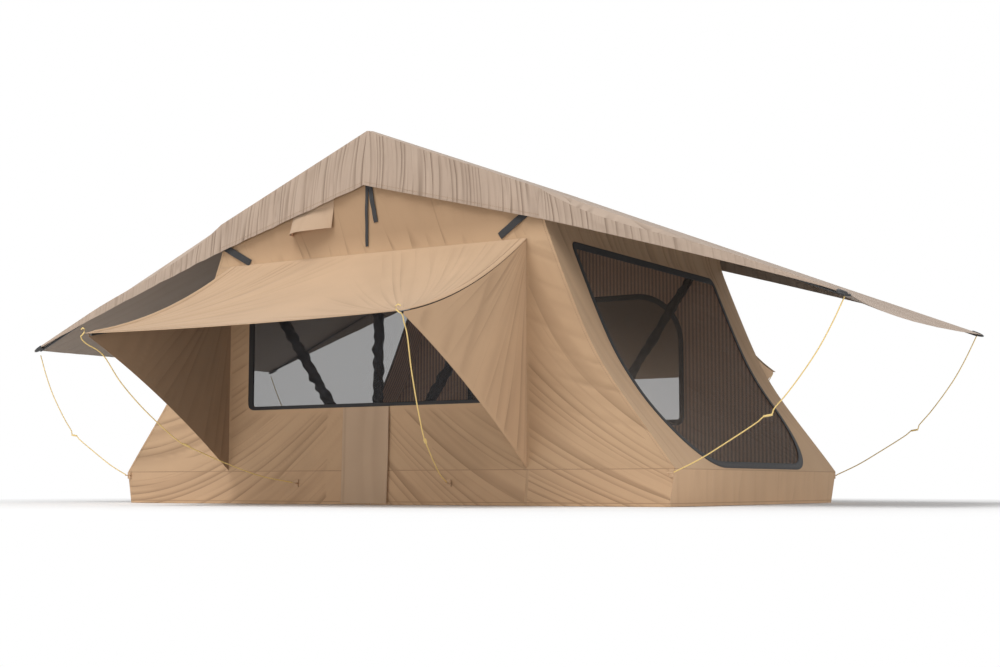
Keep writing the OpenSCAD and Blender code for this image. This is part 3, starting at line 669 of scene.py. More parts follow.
def canvas(name, base, shade=0.20, lines=0.55, rough=0.85, sheen=0.12, pitch=0.0016, seams=(), stripe=0.0,
           glow=0.0):
    """Woven cloth: a weave, uneven dye, soft blotches, drape lines painted as the shade of creases, painted shade
    in the folds, dark seams, woven stripes, and a painted glow for light that comes through the cloth."""
    material, tree, skin = new_material(name)
    uv = cloth_place(tree)
    blotch = noise(tree, object_place(tree), (4.5, 4.5, 4.5), 3)
    slub = math_node(tree, "MULTIPLY", noise(tree, uv, (900, 60, 1), 2), 0.25)
    tone = mixed(tree, "MIX", blotch, rgba(base, 0.9), rgba(base, 1.1))
    tone = mixed(tree, "MULTIPLY", slub, tone, (0.8, 0.8, 0.8, 1))
    if stripe:
        shown = between(tree, bands(tree, uv, stripe), 0.35, 0.65)
        tone = mixed(tree, "MULTIPLY", shown, tone, (0.52, 0.58, 0.66, 1))
    drawn = drape_lines(tree)
    dark = [math_node(tree, "MULTIPLY", attribute(tree, "fold"), shade), math_node(tree, "MULTIPLY", drawn, lines)]
    if seams:
        dark.append(math_node(tree, "MULTIPLY", seam_lines(tree, uv, seams), 0.55))
    tone = mixed(tree, "MIX", strongest(tree, dark), tone, rgba(np.array(base) * (0.40, 0.36, 0.32)))
    threads = weave(tree, uv, pitch)
    crease = bumped(tree, drawn, 0.5, 0.004, invert=True)
    tree.links.new(bumped(tree, threads, 0.25, 0.0004), crease.node.inputs["Normal"])
    feed(tree, skin.inputs, {
        "Base Color": tone, "Normal": crease,
        "Roughness": math_node(tree, "MULTIPLY_ADD", threads, 0.08, rough - 0.04),
        "Sheen Weight": sheen, "Sheen Roughness": 0.5, "Specular IOR Level": 0.25})
    if glow:
        feed(tree, skin.inputs, {"Emission Color": tone, "Emission Strength": glow})
    return material


def netting(name, base, cover, swing, pitch, axis, wobble, contrast):
    """Insect mesh: see-through dark cloth whose threads gather into fine bands, cool and warm by turns."""
    material, tree, skin = new_material(name)
    band = bands(tree, cloth_place(tree), pitch, axis, wobble, 0.4)
    lean = np.array([-0.5, 0, 0.5]) * contrast
    cool, warm = np.array(base) * (1 + lean), np.array(base) * (1 - lean)
    feed(tree, skin.inputs, {
        "Base Color": mixed(tree, "MIX", band, rgba(cool, 1 - contrast), rgba(warm, 1 + contrast)),
        "Roughness": 0.8, "Alpha": math_node(tree, "MULTIPLY_ADD", band, swing, cover - swing / 2)})
    return material


def webbing(name, base):
    """Woven tape with ribs along it."""
    material, tree, skin = new_material(name)
    threads = weave(tree, cloth_place(tree), 0.003)
    feed(tree, skin.inputs, {
        "Base Color": mixed(tree, "MIX", threads, rgba(base, 0.7), rgba(base, 1.25)),
        "Roughness": 0.7, "Sheen Weight": 0.1, "Normal": bumped(tree, threads, 0.5, 0.0006)})
    return material


def braid(name, base):
    """Braided cord: strands that cross as they run round it."""
    material, tree, skin = new_material(name)
    uv = cloth_place(tree)
    strands = []
    for lean in (1.56, -1.56):
        turned = node(tree, "ShaderNodeMapping", {
            "Vector": uv, "Rotation": (0, 0, math.atan2(1, lean)), "Scale": (180, 2, 1)})
        strands.append(bands(tree, turned.outputs[0], math.pi / 6))
    cross = strongest(tree, strands)
    feed(tree, skin.inputs, {
        "Base Color": mixed(tree, "MIX", cross, rgba(base, 0.72), rgba(base, 1.12)),
        "Roughness": 0.6, "Normal": bumped(tree, cross, 0.6, 0.0005)})
    return material


def hard_finish(name, base, rough, stretch, metallic=0.0, spread=0.18, bump=0.15):
    """Metal, wood, plastic or paint: streaked or speckled by a noise stretched along the piece."""
    material, tree, skin = new_material(name)
    grain = noise(tree, object_place(tree), stretch, 4)
    feed(tree, skin.inputs, {
        "Base Color": mixed(tree, "MIX", grain, rgba(base, 1 - spread), rgba(base, 1 + spread)),
        "Metallic": metallic, "Roughness": math_node(tree, "MULTIPLY_ADD", grain, 0.2, rough - 0.1),
        "Normal": bumped(tree, grain, bump, 0.0005)})
    return material


# What makes each finish, its colour (one of the tent's colours or a screen colour) and what it differs in
FINISHES = {
    "canopy_canvas": (canvas, "canopy", dict(shade=0.42, lines=0.62)),
    "canopy_lining": (canvas, "lining", dict(lines=0.3, stripe=0.017, glow=0.048)),
    "flap_canvas": (canvas, "flap", dict(shade=0.40)),
    "wing_canvas": (canvas, "wing", dict(shade=0.35, lines=0.52)),
    "wing_lining": (canvas, "wing_lining", dict(shade=0.35, lines=0.5)),
    "hood_canvas": (canvas, "hood", {}),
    "skirt_canvas": (canvas, "skirt", dict(lines=0.62, seams=(0.011, 0.1225))),
    "skirt_lining": (canvas, "lining", dict(lines=0.3)),
    "awning_canvas": (canvas, "awning", dict(shade=0.35, lines=0.42)),
    "awning_lining": (canvas, "canopy", dict(shade=0.35, lines=0.35)),
    "fly_cloth": (canvas, "fly", dict(shade=0.25, lines=1.0, rough=0.7, sheen=0.08, pitch=0.0012)),
    "fly_lining": (canvas, "fly_lining", dict(lines=0.3, rough=0.6, sheen=0.05, pitch=0.0012)),
    "mattress_cover": (canvas, "mattress", dict(shade=0.3, pitch=0.0022)),
    "window_netting": (netting, "window_mesh", dict(cover=0.51, swing=0.02, pitch=0.009, axis="Y", wobble=2.0,
                                                    contrast=0.05)),
    "door_netting": (netting, "door_mesh", dict(cover=0.42, swing=0.06, pitch=0.016, axis="X", wobble=0.3,
                                                contrast=0.45)),
    "black_webbing": (webbing, "binding", {}),
    "guy_cord": (braid, "cord", {}),
    "ring_webbing": (hard_finish, (190, 158, 126), dict(rough=0.75, stretch=(500, 500, 500), spread=0.2, bump=0.3)),
    "sleeve_cloth": (hard_finish, "sleeve", dict(rough=0.9, stretch=(220, 220, 220), spread=0.3, bump=0.25)),
    "straw_plastic": (hard_finish, "cord", dict(rough=0.4, stretch=(90, 90, 90), spread=0.08, bump=0.05)),
    "thread": (hard_finish, (150, 122, 96), dict(rough=0.75, stretch=(900, 900, 900), spread=0.2, bump=0.3)),
    "dark_thread": (hard_finish, (62, 60, 60), dict(rough=0.75, stretch=(900, 900, 900), spread=0.2, bump=0.3)),
    "fibre_rod": (hard_finish, (44, 44, 45), dict(rough=0.35, stretch=(40, 400, 400))),
    "rail_aluminium": (hard_finish, (200, 202, 204), dict(rough=0.38, stretch=(260, 3, 260), metallic=1.0)),
    "frame_aluminium": (hard_finish, (186, 188, 190), dict(rough=0.45, stretch=(6, 6, 260), metallic=1.0)),
    "floor_panel": (hard_finish, (182, 150, 112), dict(rough=0.6, stretch=(6, 120, 40), spread=0.22, bump=0.1)),
    "bracket_steel": (hard_finish, (44, 44, 46), dict(rough=0.5, stretch=(300, 300, 300), spread=0.15, bump=0.3)),
    "zinc_steel": (hard_finish, (190, 190, 188), dict(rough=0.35, stretch=(140, 140, 140), metallic=1.0)),
    "bow_aluminium": (hard_finish, (192, 194, 196), dict(rough=0.4, stretch=(30, 30, 30), metallic=1.0)),
    "black_plastic": (hard_finish, (38, 38, 40), dict(rough=0.45, stretch=(350, 350, 350), spread=0.12, bump=0.2)),
}
MADE = {}


def finish(name):
    """Material of that name, made when it is first asked for."""
    if name not in MADE:
        maker, base, values = FINISHES[name]
        base = getattr(colours(), base) if isinstance(base, str) else tint(*base)
        MADE[name] = maker(name, base, **values)
    return MADE[name]


# Pieces common to several operators

def put(piece, body, slot, *nodes):
    """Rides a finished piece on its body and hides the nodes that it stands for."""
    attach(piece, body)
    if nodes:
        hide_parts(*nodes)
    return piece


def make(name, patches, finishes, body, slot, *nodes, thick=0.0, sharp=35):
    """Piece from patches, in its finishes and on its body; cloth with a lining gets its thickness."""
    piece = cloth_object(name, patches, [finish(f) for f in finishes], sharp)
    if thick:
        thicken(piece, thick)
    return put(piece, body, slot, *nodes)


def flatten(piece, level=None):
    """Gives the piece its own copy of its mesh. The level is worked out but not used."""
    level = sizes().skirt_top if level is None else level
    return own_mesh(piece)


def awning_level():
    """Height at which the awnings and wings lie when the tent is folded."""
    return sizes().skirt_top + 0.013


def cut(across, up, distance, outside=True):
    """Moves grid points onto the edge of an opening and says which cells stay."""
    step = 1e-4
    d = distance(across, up)
    gx = (distance(across + step, up) - distance(across - step, up)) / (2 * step)
    gz = (distance(across, up + step) - distance(across, up - step)) / (2 * step)
    beyond = d < 0 if outside else d > 0
    solid = ~beyond
    keep = solid[:-1, :-1] | solid[1:, :-1] | solid[:-1, 1:] | solid[1:, 1:]
    return np.where(beyond, across - d * gx, across), np.where(beyond, up - d * gz, up), keep


def wall_rows():
    """Heights of the canopy's rows: along the end wall, then up the roof edge."""
    s = sizes()
    lower = np.linspace(s.seam_height + 0.0002, float(roof_height(s.bow_line)), 96)
    upper = np.linspace(float(roof_height(s.bow_line)), s.roof_top - 0.001, 28)[1:]
    return lower, upper


class TENT_OT_stage(bpy.types.Operator):
    """Sets the camera, the soft lamps, the white surroundings and the pale floor."""
    bl_idname = "tent.stage"
    bl_label = "Stage"

    # Camera fitted to the photo: its place, its turn and tilt in degrees and its focal length in millimetres
    EYE = (3.3465, -5.2546, 0.0679)
    YAW, PITCH, FOCAL = 31.818, 5.587, 56.04
    # Lamps: name, place, aim, size and power
    LAMPS = (("key", (-1.5, -4.2, 7.0), (0, -0.3, 0.5), (4.0, 4.0), 340),
             ("low", (-0.8, -4.2, 0.30), (0.3, -0.7, 0.10), (5.0, 0.6), 33),
             ("side", (6.2, -1.6, 1.7), (1.0, 0, 0.4), (3.0, 2.4), 110))
    # Strength of the surroundings as light and as seen
    SURROUNDINGS = (0.45, 1.0)
    # Distances at which the floor starts to pass into white, and is white
    FLOOR_ENDS = (1.9, 3.2)

    def execute(self, context):
        scene = context.scene
        yaw, pitch = math.radians(self.YAW), math.radians(self.PITCH)
        lens = bpy.data.cameras.new("view")
        lens.lens, lens.sensor_width = self.FOCAL, 36
        lens.clip_start, lens.clip_end = 0.05, 200
        camera = linked("view", lens)
        ahead = Vector((-math.sin(yaw) * math.cos(pitch), math.cos(yaw) * math.cos(pitch), math.sin(pitch)))
        camera.location = self.EYE
        camera.rotation_euler = ahead.to_track_quat("-Z", "Y").to_euler()
        scene.camera = camera
        for name, place, aim, size, power in self.LAMPS:
            lamp = bpy.data.lights.new(name, "AREA")
            lamp.energy, lamp.shape, lamp.size, lamp.size_y = power, "RECTANGLE", *size
            made = linked(name, lamp)
            made.location, made.visible_camera = place, False
            made.rotation_euler = (Vector(aim) - Vector(place)).to_track_quat("-Z", "Y").to_euler()
        world = bpy.data.worlds.new("surroundings")
        world.use_nodes = True
        tree = world.node_tree
        tree.nodes.clear()
        light, seen = (node(tree, "ShaderNodeBackground", {0: (1, 1, 1, 1), 1: strength}).outputs[0]
                       for strength in self.SURROUNDINGS)
        pick = node(tree, "ShaderNodeMixShader", {0: self.looking(tree), 1: light, 2: seen})
        node(tree, "ShaderNodeOutputWorld", {0: pick.outputs[0]})
        scene.world = world
        self.floor()
        scene.view_settings.view_transform = "Standard"
        return {"FINISHED"}

    def looking(self, tree):
        """1 for rays that see the surroundings and 0 for rays that light the tent."""
        path = tree.nodes.new("ShaderNodeLightPath")
        return strongest(tree, [path.outputs[f"Is {kind} Ray"] for kind in ("Camera", "Glossy", "Transmission")])

    def floor(self):
        """Pale floor that takes the tent's shadow and passes into white away from it."""
        side = 40
        mesh = bpy.data.meshes.new("floor")
        mesh.from_pydata([(-side, -side, 0), (side, -side, 0), (side, side, 0), (-side, side, 0)], [], [(0, 1, 2, 3)])
        material, tree, skin = new_material("pale_floor")
        surface = skin.outputs[0].links[0].to_socket
        place = object_place(tree)
        grain = node(tree, "ShaderNodeTexNoise", {"Vector": place, "Scale": 3}).outputs["Fac"]
        tone = mixed(tree, "MIX", grain, (0.93, 0.93, 0.93, 1), (0.97, 0.97, 0.97, 1))
        feed(tree, skin.inputs, {"Base Color": tone, "Roughness": 0.9, "Specular IOR Level": 0.0})
        away = node(tree, "ShaderNodeVectorMath", {0: place}, operation="LENGTH").outputs["Value"]
        white = node(tree, "ShaderNodeEmission", {0: (1, 1, 1, 1), 1: 1.0})
        share = math_node(tree, "MULTIPLY", self.looking(tree), between(tree, away, *self.FLOOR_ENDS))
        shown = node(tree, "ShaderNodeMixShader", {0: share, 1: skin.outputs[0], 2: white.outputs[0]})
        tree.links.new(shown.outputs[0], surface)
        mesh.materials.append(material)
        linked("floor", mesh)


# Routes of the slack cords from tip to ring, at the front right. The awnings' cords start with a small loop
CORDS = {
    "fly": ((1.747, -0.741, 0.642), (1.710, -0.742, 0.562), (1.668, -0.743, 0.484), (1.620, -0.744, 0.413),
            (1.570, -0.745, 0.348), (1.531, -0.746, 0.304), (1.524, -0.746, 0.285), (1.499, -0.747, 0.281),
            (1.472, -0.747, 0.260), (1.380, -0.748, 0.204), (1.290, -0.749, 0.152), (1.201, -0.750, 0.111)),
    "awning": ((0.662, -1.489, 0.603), (0.651, -1.491, 0.608), (0.643, -1.491, 0.599), (0.651, -1.490, 0.587),
               (0.666, -1.488, 0.577), (0.660, -1.470, 0.556), (0.635, -1.417, 0.520), (0.610, -1.361, 0.430),
               (0.582, -1.298, 0.352), (0.554, -1.236, 0.288), (0.523, -1.166, 0.225), (0.498, -1.110, 0.196),
               (0.448, -0.998, 0.147), (0.395, -0.880, 0.104), (0.342, -0.762, 0.080)),
}
# Points that the loop takes up, and the point from which a cord without one starts
LOOP = 6
PLAIN_TIP = (0.654, -1.459, 0.580)
# Point of each route before its runner
RUNNER = {"fly": 6, "awning": 10}


class TENT_OT_guy_cords(bpy.types.Operator):
    """Lays the slack guy cords from the fly corners and awning tips to the skirt rings, with their runners."""
    bl_idname = "tent.guy_cords"
    bl_label = "Guy cords"

    def execute(self, context):
        for half, hx in HALVES:
            for side, sy in SIDES:
                self.lay(f"{half}_{side}_fly_cord", "fly", hx, sy, BASE[half], f"{half}_runners")
                body = f"{side}_{half}_awning_cord"
                self.lay(body, "awning", hx, sy, body, f"{side}_{half}_runner")
        return {"FINISHED"}

    def lay(self, name, kind, hx, sy, body, runner_node):
        s = sizes()
        points, at = np.array(CORDS[kind]), RUNNER[kind]
        if kind == "awning" and sy > 0:
            points, at = np.concatenate([[PLAIN_TIP], points[LOOP:]]), at - LOOP + 1
        share = fade(points[:, 2:], points[-1, 2], points[0, 2])
        if kind == "fly":
            points = points + share * np.array([hx * s.fly_shift, 0, -s.fly_left_droop if hx < 0 else 0])
        elif hx < 0:
            points = points + share * np.array([s.awning_left - s.awning_right, 0, 0])
        route = mirrored(smooth_route(points, 96), hx, -sy)
        cord = make(name + "_line", tube_patches(route, ring(s.cord, 10)), ("guy_cord",), body, "guy_cord", name,
                    sharp=60)
        runner = make(name + "_slider", self.runner(*mirrored(points, hx, -sy)[at:at + 2]), ("straw_plastic",), body,
                      "black_plastic", runner_node)
        for piece in (cord, runner):
            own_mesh(piece)

    def runner(self, a, b):
        """Small three-hole slider with rounded ends and a waist."""
        half_long, half_wide, half_thick = 0.016, 0.0052, 0.0034
        way = (b - a) / np.linalg.norm(b - a)
        t = np.linspace(-1, 1, 17)
        wide = half_wide * np.sqrt(np.clip(1 - t ** 6, 0.02, 1)) * (1 - 0.18 * np.cos(t * math.pi * 1.5) ** 2)
        flat = half_thick * np.sqrt(np.clip(1 - t ** 8, 0.02, 1))
        section = round_box(16) * np.stack([wide, flat], -1)[:, None]
        return tube_patches((a + b) / 2 + t[:, None] * way * half_long, section)


class TENT_OT_canopy(bpy.types.Operator):
    """Sews each half of the canopy as one sheet of walls, end wall and roof, with its openings cut out."""
    bl_idname = "tent.canopy"
    bl_label = "Canopy"

    def execute(self, context):
        for number, (half, hx) in enumerate(HALVES):
            patches = [self.wall(hx, sy, wall_seed(number, k)) for k, (_, sy) in enumerate(SIDES)]
            patches += [self.end(hx, 17 + 20 * number), self.roof(hx)]
            piece = make(f"{half}_canopy_cloth", patches, ("canopy_canvas", "canopy_lining"), BASE[half],
                         "canopy_cloth", f"{half}_canopy", thick=sizes().cloth)
            flatten(piece)
        self.hood()
        self.flaps()
        return {"FINISHED"}

    def wall(self, hx, sy, seed):
        s = sizes()
        lower, upper = wall_rows()
        z = np.concatenate([lower, upper])
        edge = np.concatenate([end_wall_x(lower), (s.roof_top - upper) / ROOF_SLOPE])
        share = np.linspace(0, 1, WALL_COLUMNS)[None]
        x, z = edge[:, None] * share, np.repeat(z[:, None], WALL_COLUMNS, 1)
        x, z, keep = cut(x, z, lambda a, b: opening_distance(a, b, *window_shape(sy)) - CUT_BACK)
        fold = wall_folds(hx * x, z, seed)
        gap = opening_distance(x, z, *window_shape(sy))
        calm = np.clip((gap - 0.022) / 0.03, 0, 1) * np.clip((edge[:, None] - x) / 0.03, 0, 1)
        calm *= np.clip((z - s.seam_height) / 0.02, 0, 1)
        y = s.half_depth - 0.0035 * fold * calm
        points = np.stack([hx * x, sy * y, z], -1)
        lines = wall_drape(hx * x, z, seed) * np.stack([1 + 0 * x, 1 + 0 * x, fade(gap, 0.02, 0.045)], -1)
        # The wall is painted darker above 0.90 m, fully from 0.98 m up: painted shade under the fly's valance.
        fold = np.maximum(fold * np.clip(calm + 0.35, 0, 1), 0.95 * fade(z, 0.90, 0.98))
        return patch(points, np.stack([hx * x, z], -1), fold, keep, (0, sy, 0), lines)

    def end(self, hx, seed):
        s = sizes()
        lower, _ = wall_rows()
        y, z = np.meshgrid(np.linspace(-s.half_depth, s.half_depth, END_COLUMNS), lower)
        y, z, keep = cut(y, z, lambda a, b: opening_distance(a, b, *door_shape()) - CUT_BACK)
        fold = end_folds(y, z, seed)
        gap = opening_distance(y, z, *door_shape())
        calm = np.clip((gap - 0.022) / 0.03, 0, 1) * np.clip((s.half_depth - np.abs(y)) / 0.03, 0, 1)
        calm *= np.clip((z - s.seam_height) / 0.02, 0, 1) * np.clip((roof_height(s.bow_line) - z) / 0.02, 0, 1)
        points = end_wall_point(y, z, -0.004 * fold * calm) * np.array([hx, 1, 1])
        strength = (0.9 * fade(z, 0.84, 0.93) + 0.4 * fade(np.abs(y), 0.58, 0.64)) * fade(gap, 0.02, 0.045)
        lines = drape(y + 0.12 * (z - 1), z + seed, np.clip(strength, 0, 1), pitch=0.045, run=0.5)
        return patch(points, np.stack([y, z], -1), fold * np.clip(calm + 0.3, 0, 1), keep, (hx, 0, 0.3), lines)

    def roof(self, hx):
        s = sizes()
        _, upper = wall_rows()
        edge = np.concatenate([[s.bow_line], (s.roof_top - upper) / ROOF_SLOPE])
        x, y = np.meshgrid(edge, np.linspace(-s.half_depth, s.half_depth, END_COLUMNS), indexing="ij")
        z = roof_height(x)
        return patch(np.stack([hx * x, y, z], -1), np.stack([x, y], -1), out=(0, 0, 1))

    def hood(self):
        """Small vent hood on the front wall: a cover that bulges at its left and is open below."""
        low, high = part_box("vent_hood")
        top = high.z + 0.045
        u, v = np.meshgrid(np.linspace(0, 1, 33), np.linspace(0, 1, 24))
        x = low.x + (high.x - low.x) * u
        foot = low.z + 0.001 + 0.015 * u
        z = top - (top - foot) * v
        bulge = np.sin(np.pi * u ** 0.55) ** 0.8 + 0.22 * u
        out = high.y - 0.0012 - (high.y - low.y + 0.016) * fade(v, 0.30, 1.0) ** 1.15 * bulge
        out += 0.0015 * np.sin(9 * u + 2) * v
        # These folds are painted shade only; the cover's shape does not follow them.
        fold = 0.5 * folds(x, z, 5, spacing=0.03, width=0.006, reach=0.08)
        cover = patch(np.stack([x, out, z], -1), np.stack([x, z], -1), fold, out=(0, -1, 0.4))
        piece = make("vent_hood_cloth", [cover], ("hood_canvas", "canopy_lining"), BASE["left"], "canopy_cloth",
                     "vent_hood", thick=sizes().cloth)
        flatten(piece)

    def flaps(self):
        """Cover strips over the hinge, front and back."""
        low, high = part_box("hinge_flaps")
        patches = []
        for k, (_, sy) in enumerate(SIDES):
            top = window_shape(sy)[1] - WINDOW_TAPE[0] * sizes().binding - 0.001
            x, z = np.meshgrid(np.linspace(low.x, high.x, 52), np.linspace(low.z, top, 60), indexing="ij")
            hang = fade(z, top, top - 0.05)
            wave = 0.0018 * np.sin((x - low.x) * 26 + 0.6 * np.sin(z * 9 + k)) + 0.0008 * np.sin(z * 17 + x * 20)
            curl = 0.006 * fade(x, high.x - 0.022, high.x) ** 2 + 0.003 * fade(x, low.x + 0.016, low.x) ** 2
            y = high.y - 0.0012 + (wave + curl) * hang
            sway = (0.006 * fade(z, low.z, top) + 0.003 * np.sin((z - low.z) * 7.5)) * hang + 0.006 * (1 - hang)
            # Painted shade: seam here is a dark shade line just inside the curled left edge, and edge adds a painted
            # shadow line along the lifted right edge. The folds are painted shade only; the cloth's shape does not
            # follow them.
            seam = 0.8 * np.exp(-((x - low.x - 0.010) / 0.003) ** 2)
            edge = 0.8 * np.maximum(fade(x, high.x - 0.004, high.x), seam)
            fold = 0.35 * folds(x + 0.02 * np.sin(z * 8), z, 60 + k, spacing=0.05, width=0.010, reach=0.3)
            patches.append(patch(np.stack([x + sway, sy * y, z], -1), np.stack([x, z], -1),
                                 np.maximum(fold, edge), out=(0, sy, 0)))
        piece = make("hinge_flap_cloth", patches, ("flap_canvas", "canopy_lining"), BASE["left"], "canopy_cloth",
                     "hinge_flaps", thick=0.0018)
        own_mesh(piece)


class TENT_OT_openings(bpy.types.Operator):
    """Fills the windows and doors with insect mesh and sews the black binding round them."""
    bl_idname = "tent.openings"
    bl_label = "Windows and doors"

    # Mesh beyond an opening: before it is cut, and as it is sewn on. Then its depth behind the cloth and its slack
    MARGIN, OVERLAP, DEPTH, SLACK = 0.012, 0.010, 0.0032, 0.003
    # Section of the tape: places across it and heights off the cloth
    SECTION = ((0.0, -0.0006), (0.0, 0.0016), (0.0025, 0.0023), (0.011, 0.0020), (0.0195, 0.0023), (0.022, 0.0016),
               (0.022, -0.0006))

    def execute(self, context):
        for half, hx in HALVES:
            body, on = BASE[half], [f"{half}_canopy_cloth"]
            nets = [self.window_net(hx, sy) for _, sy in SIDES]
            piece = make(f"{half}_window_mesh", nets, ("window_netting",), body, "insect_mesh", f"{half}_meshes")
            flatten(piece)
            nets = [self.door_net(hx)]
            piece = make(f"{half}_door_mesh", nets, ("door_netting",), body, "insect_mesh", f"{half}_meshes")
            flatten(piece)
            tapes = [self.window_band(hx, sy, face) for _, sy in SIDES for face in (1, -1)] + [self.door_band(hx)]
            piece = make(f"{half}_binding_tape", tapes, ("black_webbing",), body, "black_webbing",
                         f"{half}_bindings", sharp=50)
            flatten(piece)
        return {"FINISHED"}

    def window_net(self, hx, sy):
        shape = window_shape(sy)
        x, z = np.meshgrid(np.linspace(0, shape[0] + self.MARGIN, 50),
                           np.linspace(shape[1] - self.MARGIN, shape[2] + self.MARGIN, 46), indexing="ij")
        a, b, keep = cut(x, z, lambda p, q: opening_distance(p, q, *shape) - self.OVERLAP, outside=False)
        gap = np.clip(-opening_distance(a, b, *shape) / 0.06, 0, 1)
        y = sizes().half_depth - self.DEPTH - self.SLACK * gap * (1 + np.sin(9 * a + 4 * b))
        return patch(np.stack([hx * a, sy * y, b], -1), np.stack([hx * a, b], -1), None, keep, (0, sy, 0))

    def door_net(self, hx):
        shape = door_shape()
        y, z = np.meshgrid(np.linspace(-shape[0] - self.MARGIN, shape[0] + self.MARGIN, 90),
                           np.linspace(shape[1] - self.MARGIN, shape[2] + self.MARGIN, 64), indexing="ij")
        a, b, keep = cut(y, z, lambda p, q: opening_distance(p, q, *shape) - self.OVERLAP, outside=False)
        gap = np.clip(-opening_distance(a, b, *shape) / 0.08, 0, 1)
        lift = -self.DEPTH - self.SLACK * gap * (1 + np.sin(8 * a + 3 * b))
        points = end_wall_point(a, b, lift) * np.array([hx, 1, 1])
        return patch(points, np.stack([a, b], -1), None, keep, (hx, 0, 0.3))

    def band_grid(self, points, outs, sill, head):
        """Tape beside an outline, as places across and up, heights off the cloth and cloth coordinates."""
        grow, lift = np.array(self.SECTION).T
        wide = binding_width(outs, sill, head)
        grow = grow[None] * wide[:, None] / grow[-1]
        spots = points[:, None] + outs[:, None] * grow[..., None]
        uv = np.stack(np.broadcast_arrays(walked(points)[:, None], grow), -1)
        return spots[..., 0], spots[..., 1], np.broadcast_to(lift, spots.shape[:2]), uv

    def window_band(self, hx, sy, face):
        """Tape round half a window, on the outer face of the wall or on its inner face."""
        x, z, lift, uv = self.band_grid(*half_window(sy), *(WINDOW_TAPE if face > 0 else INNER_TAPE))
        y = sizes().half_depth + (lift if face > 0 else -0.0045 - lift)
        return patch(np.stack([hx * x, sy * y, z], -1), uv, out=(0, face * sy, 0))

    def door_band(self, hx):
        points, outs = opening_outline(*door_shape())
        points, outs = np.concatenate([points, points[:1]]), np.concatenate([outs, outs[:1]])
        y, z, lift, uv = self.band_grid(points, outs, *DOOR_TAPE)
        return patch(end_wall_point(y, z, lift) * np.array([hx, 1, 1]), uv, out=(hx, 0, 0.3))


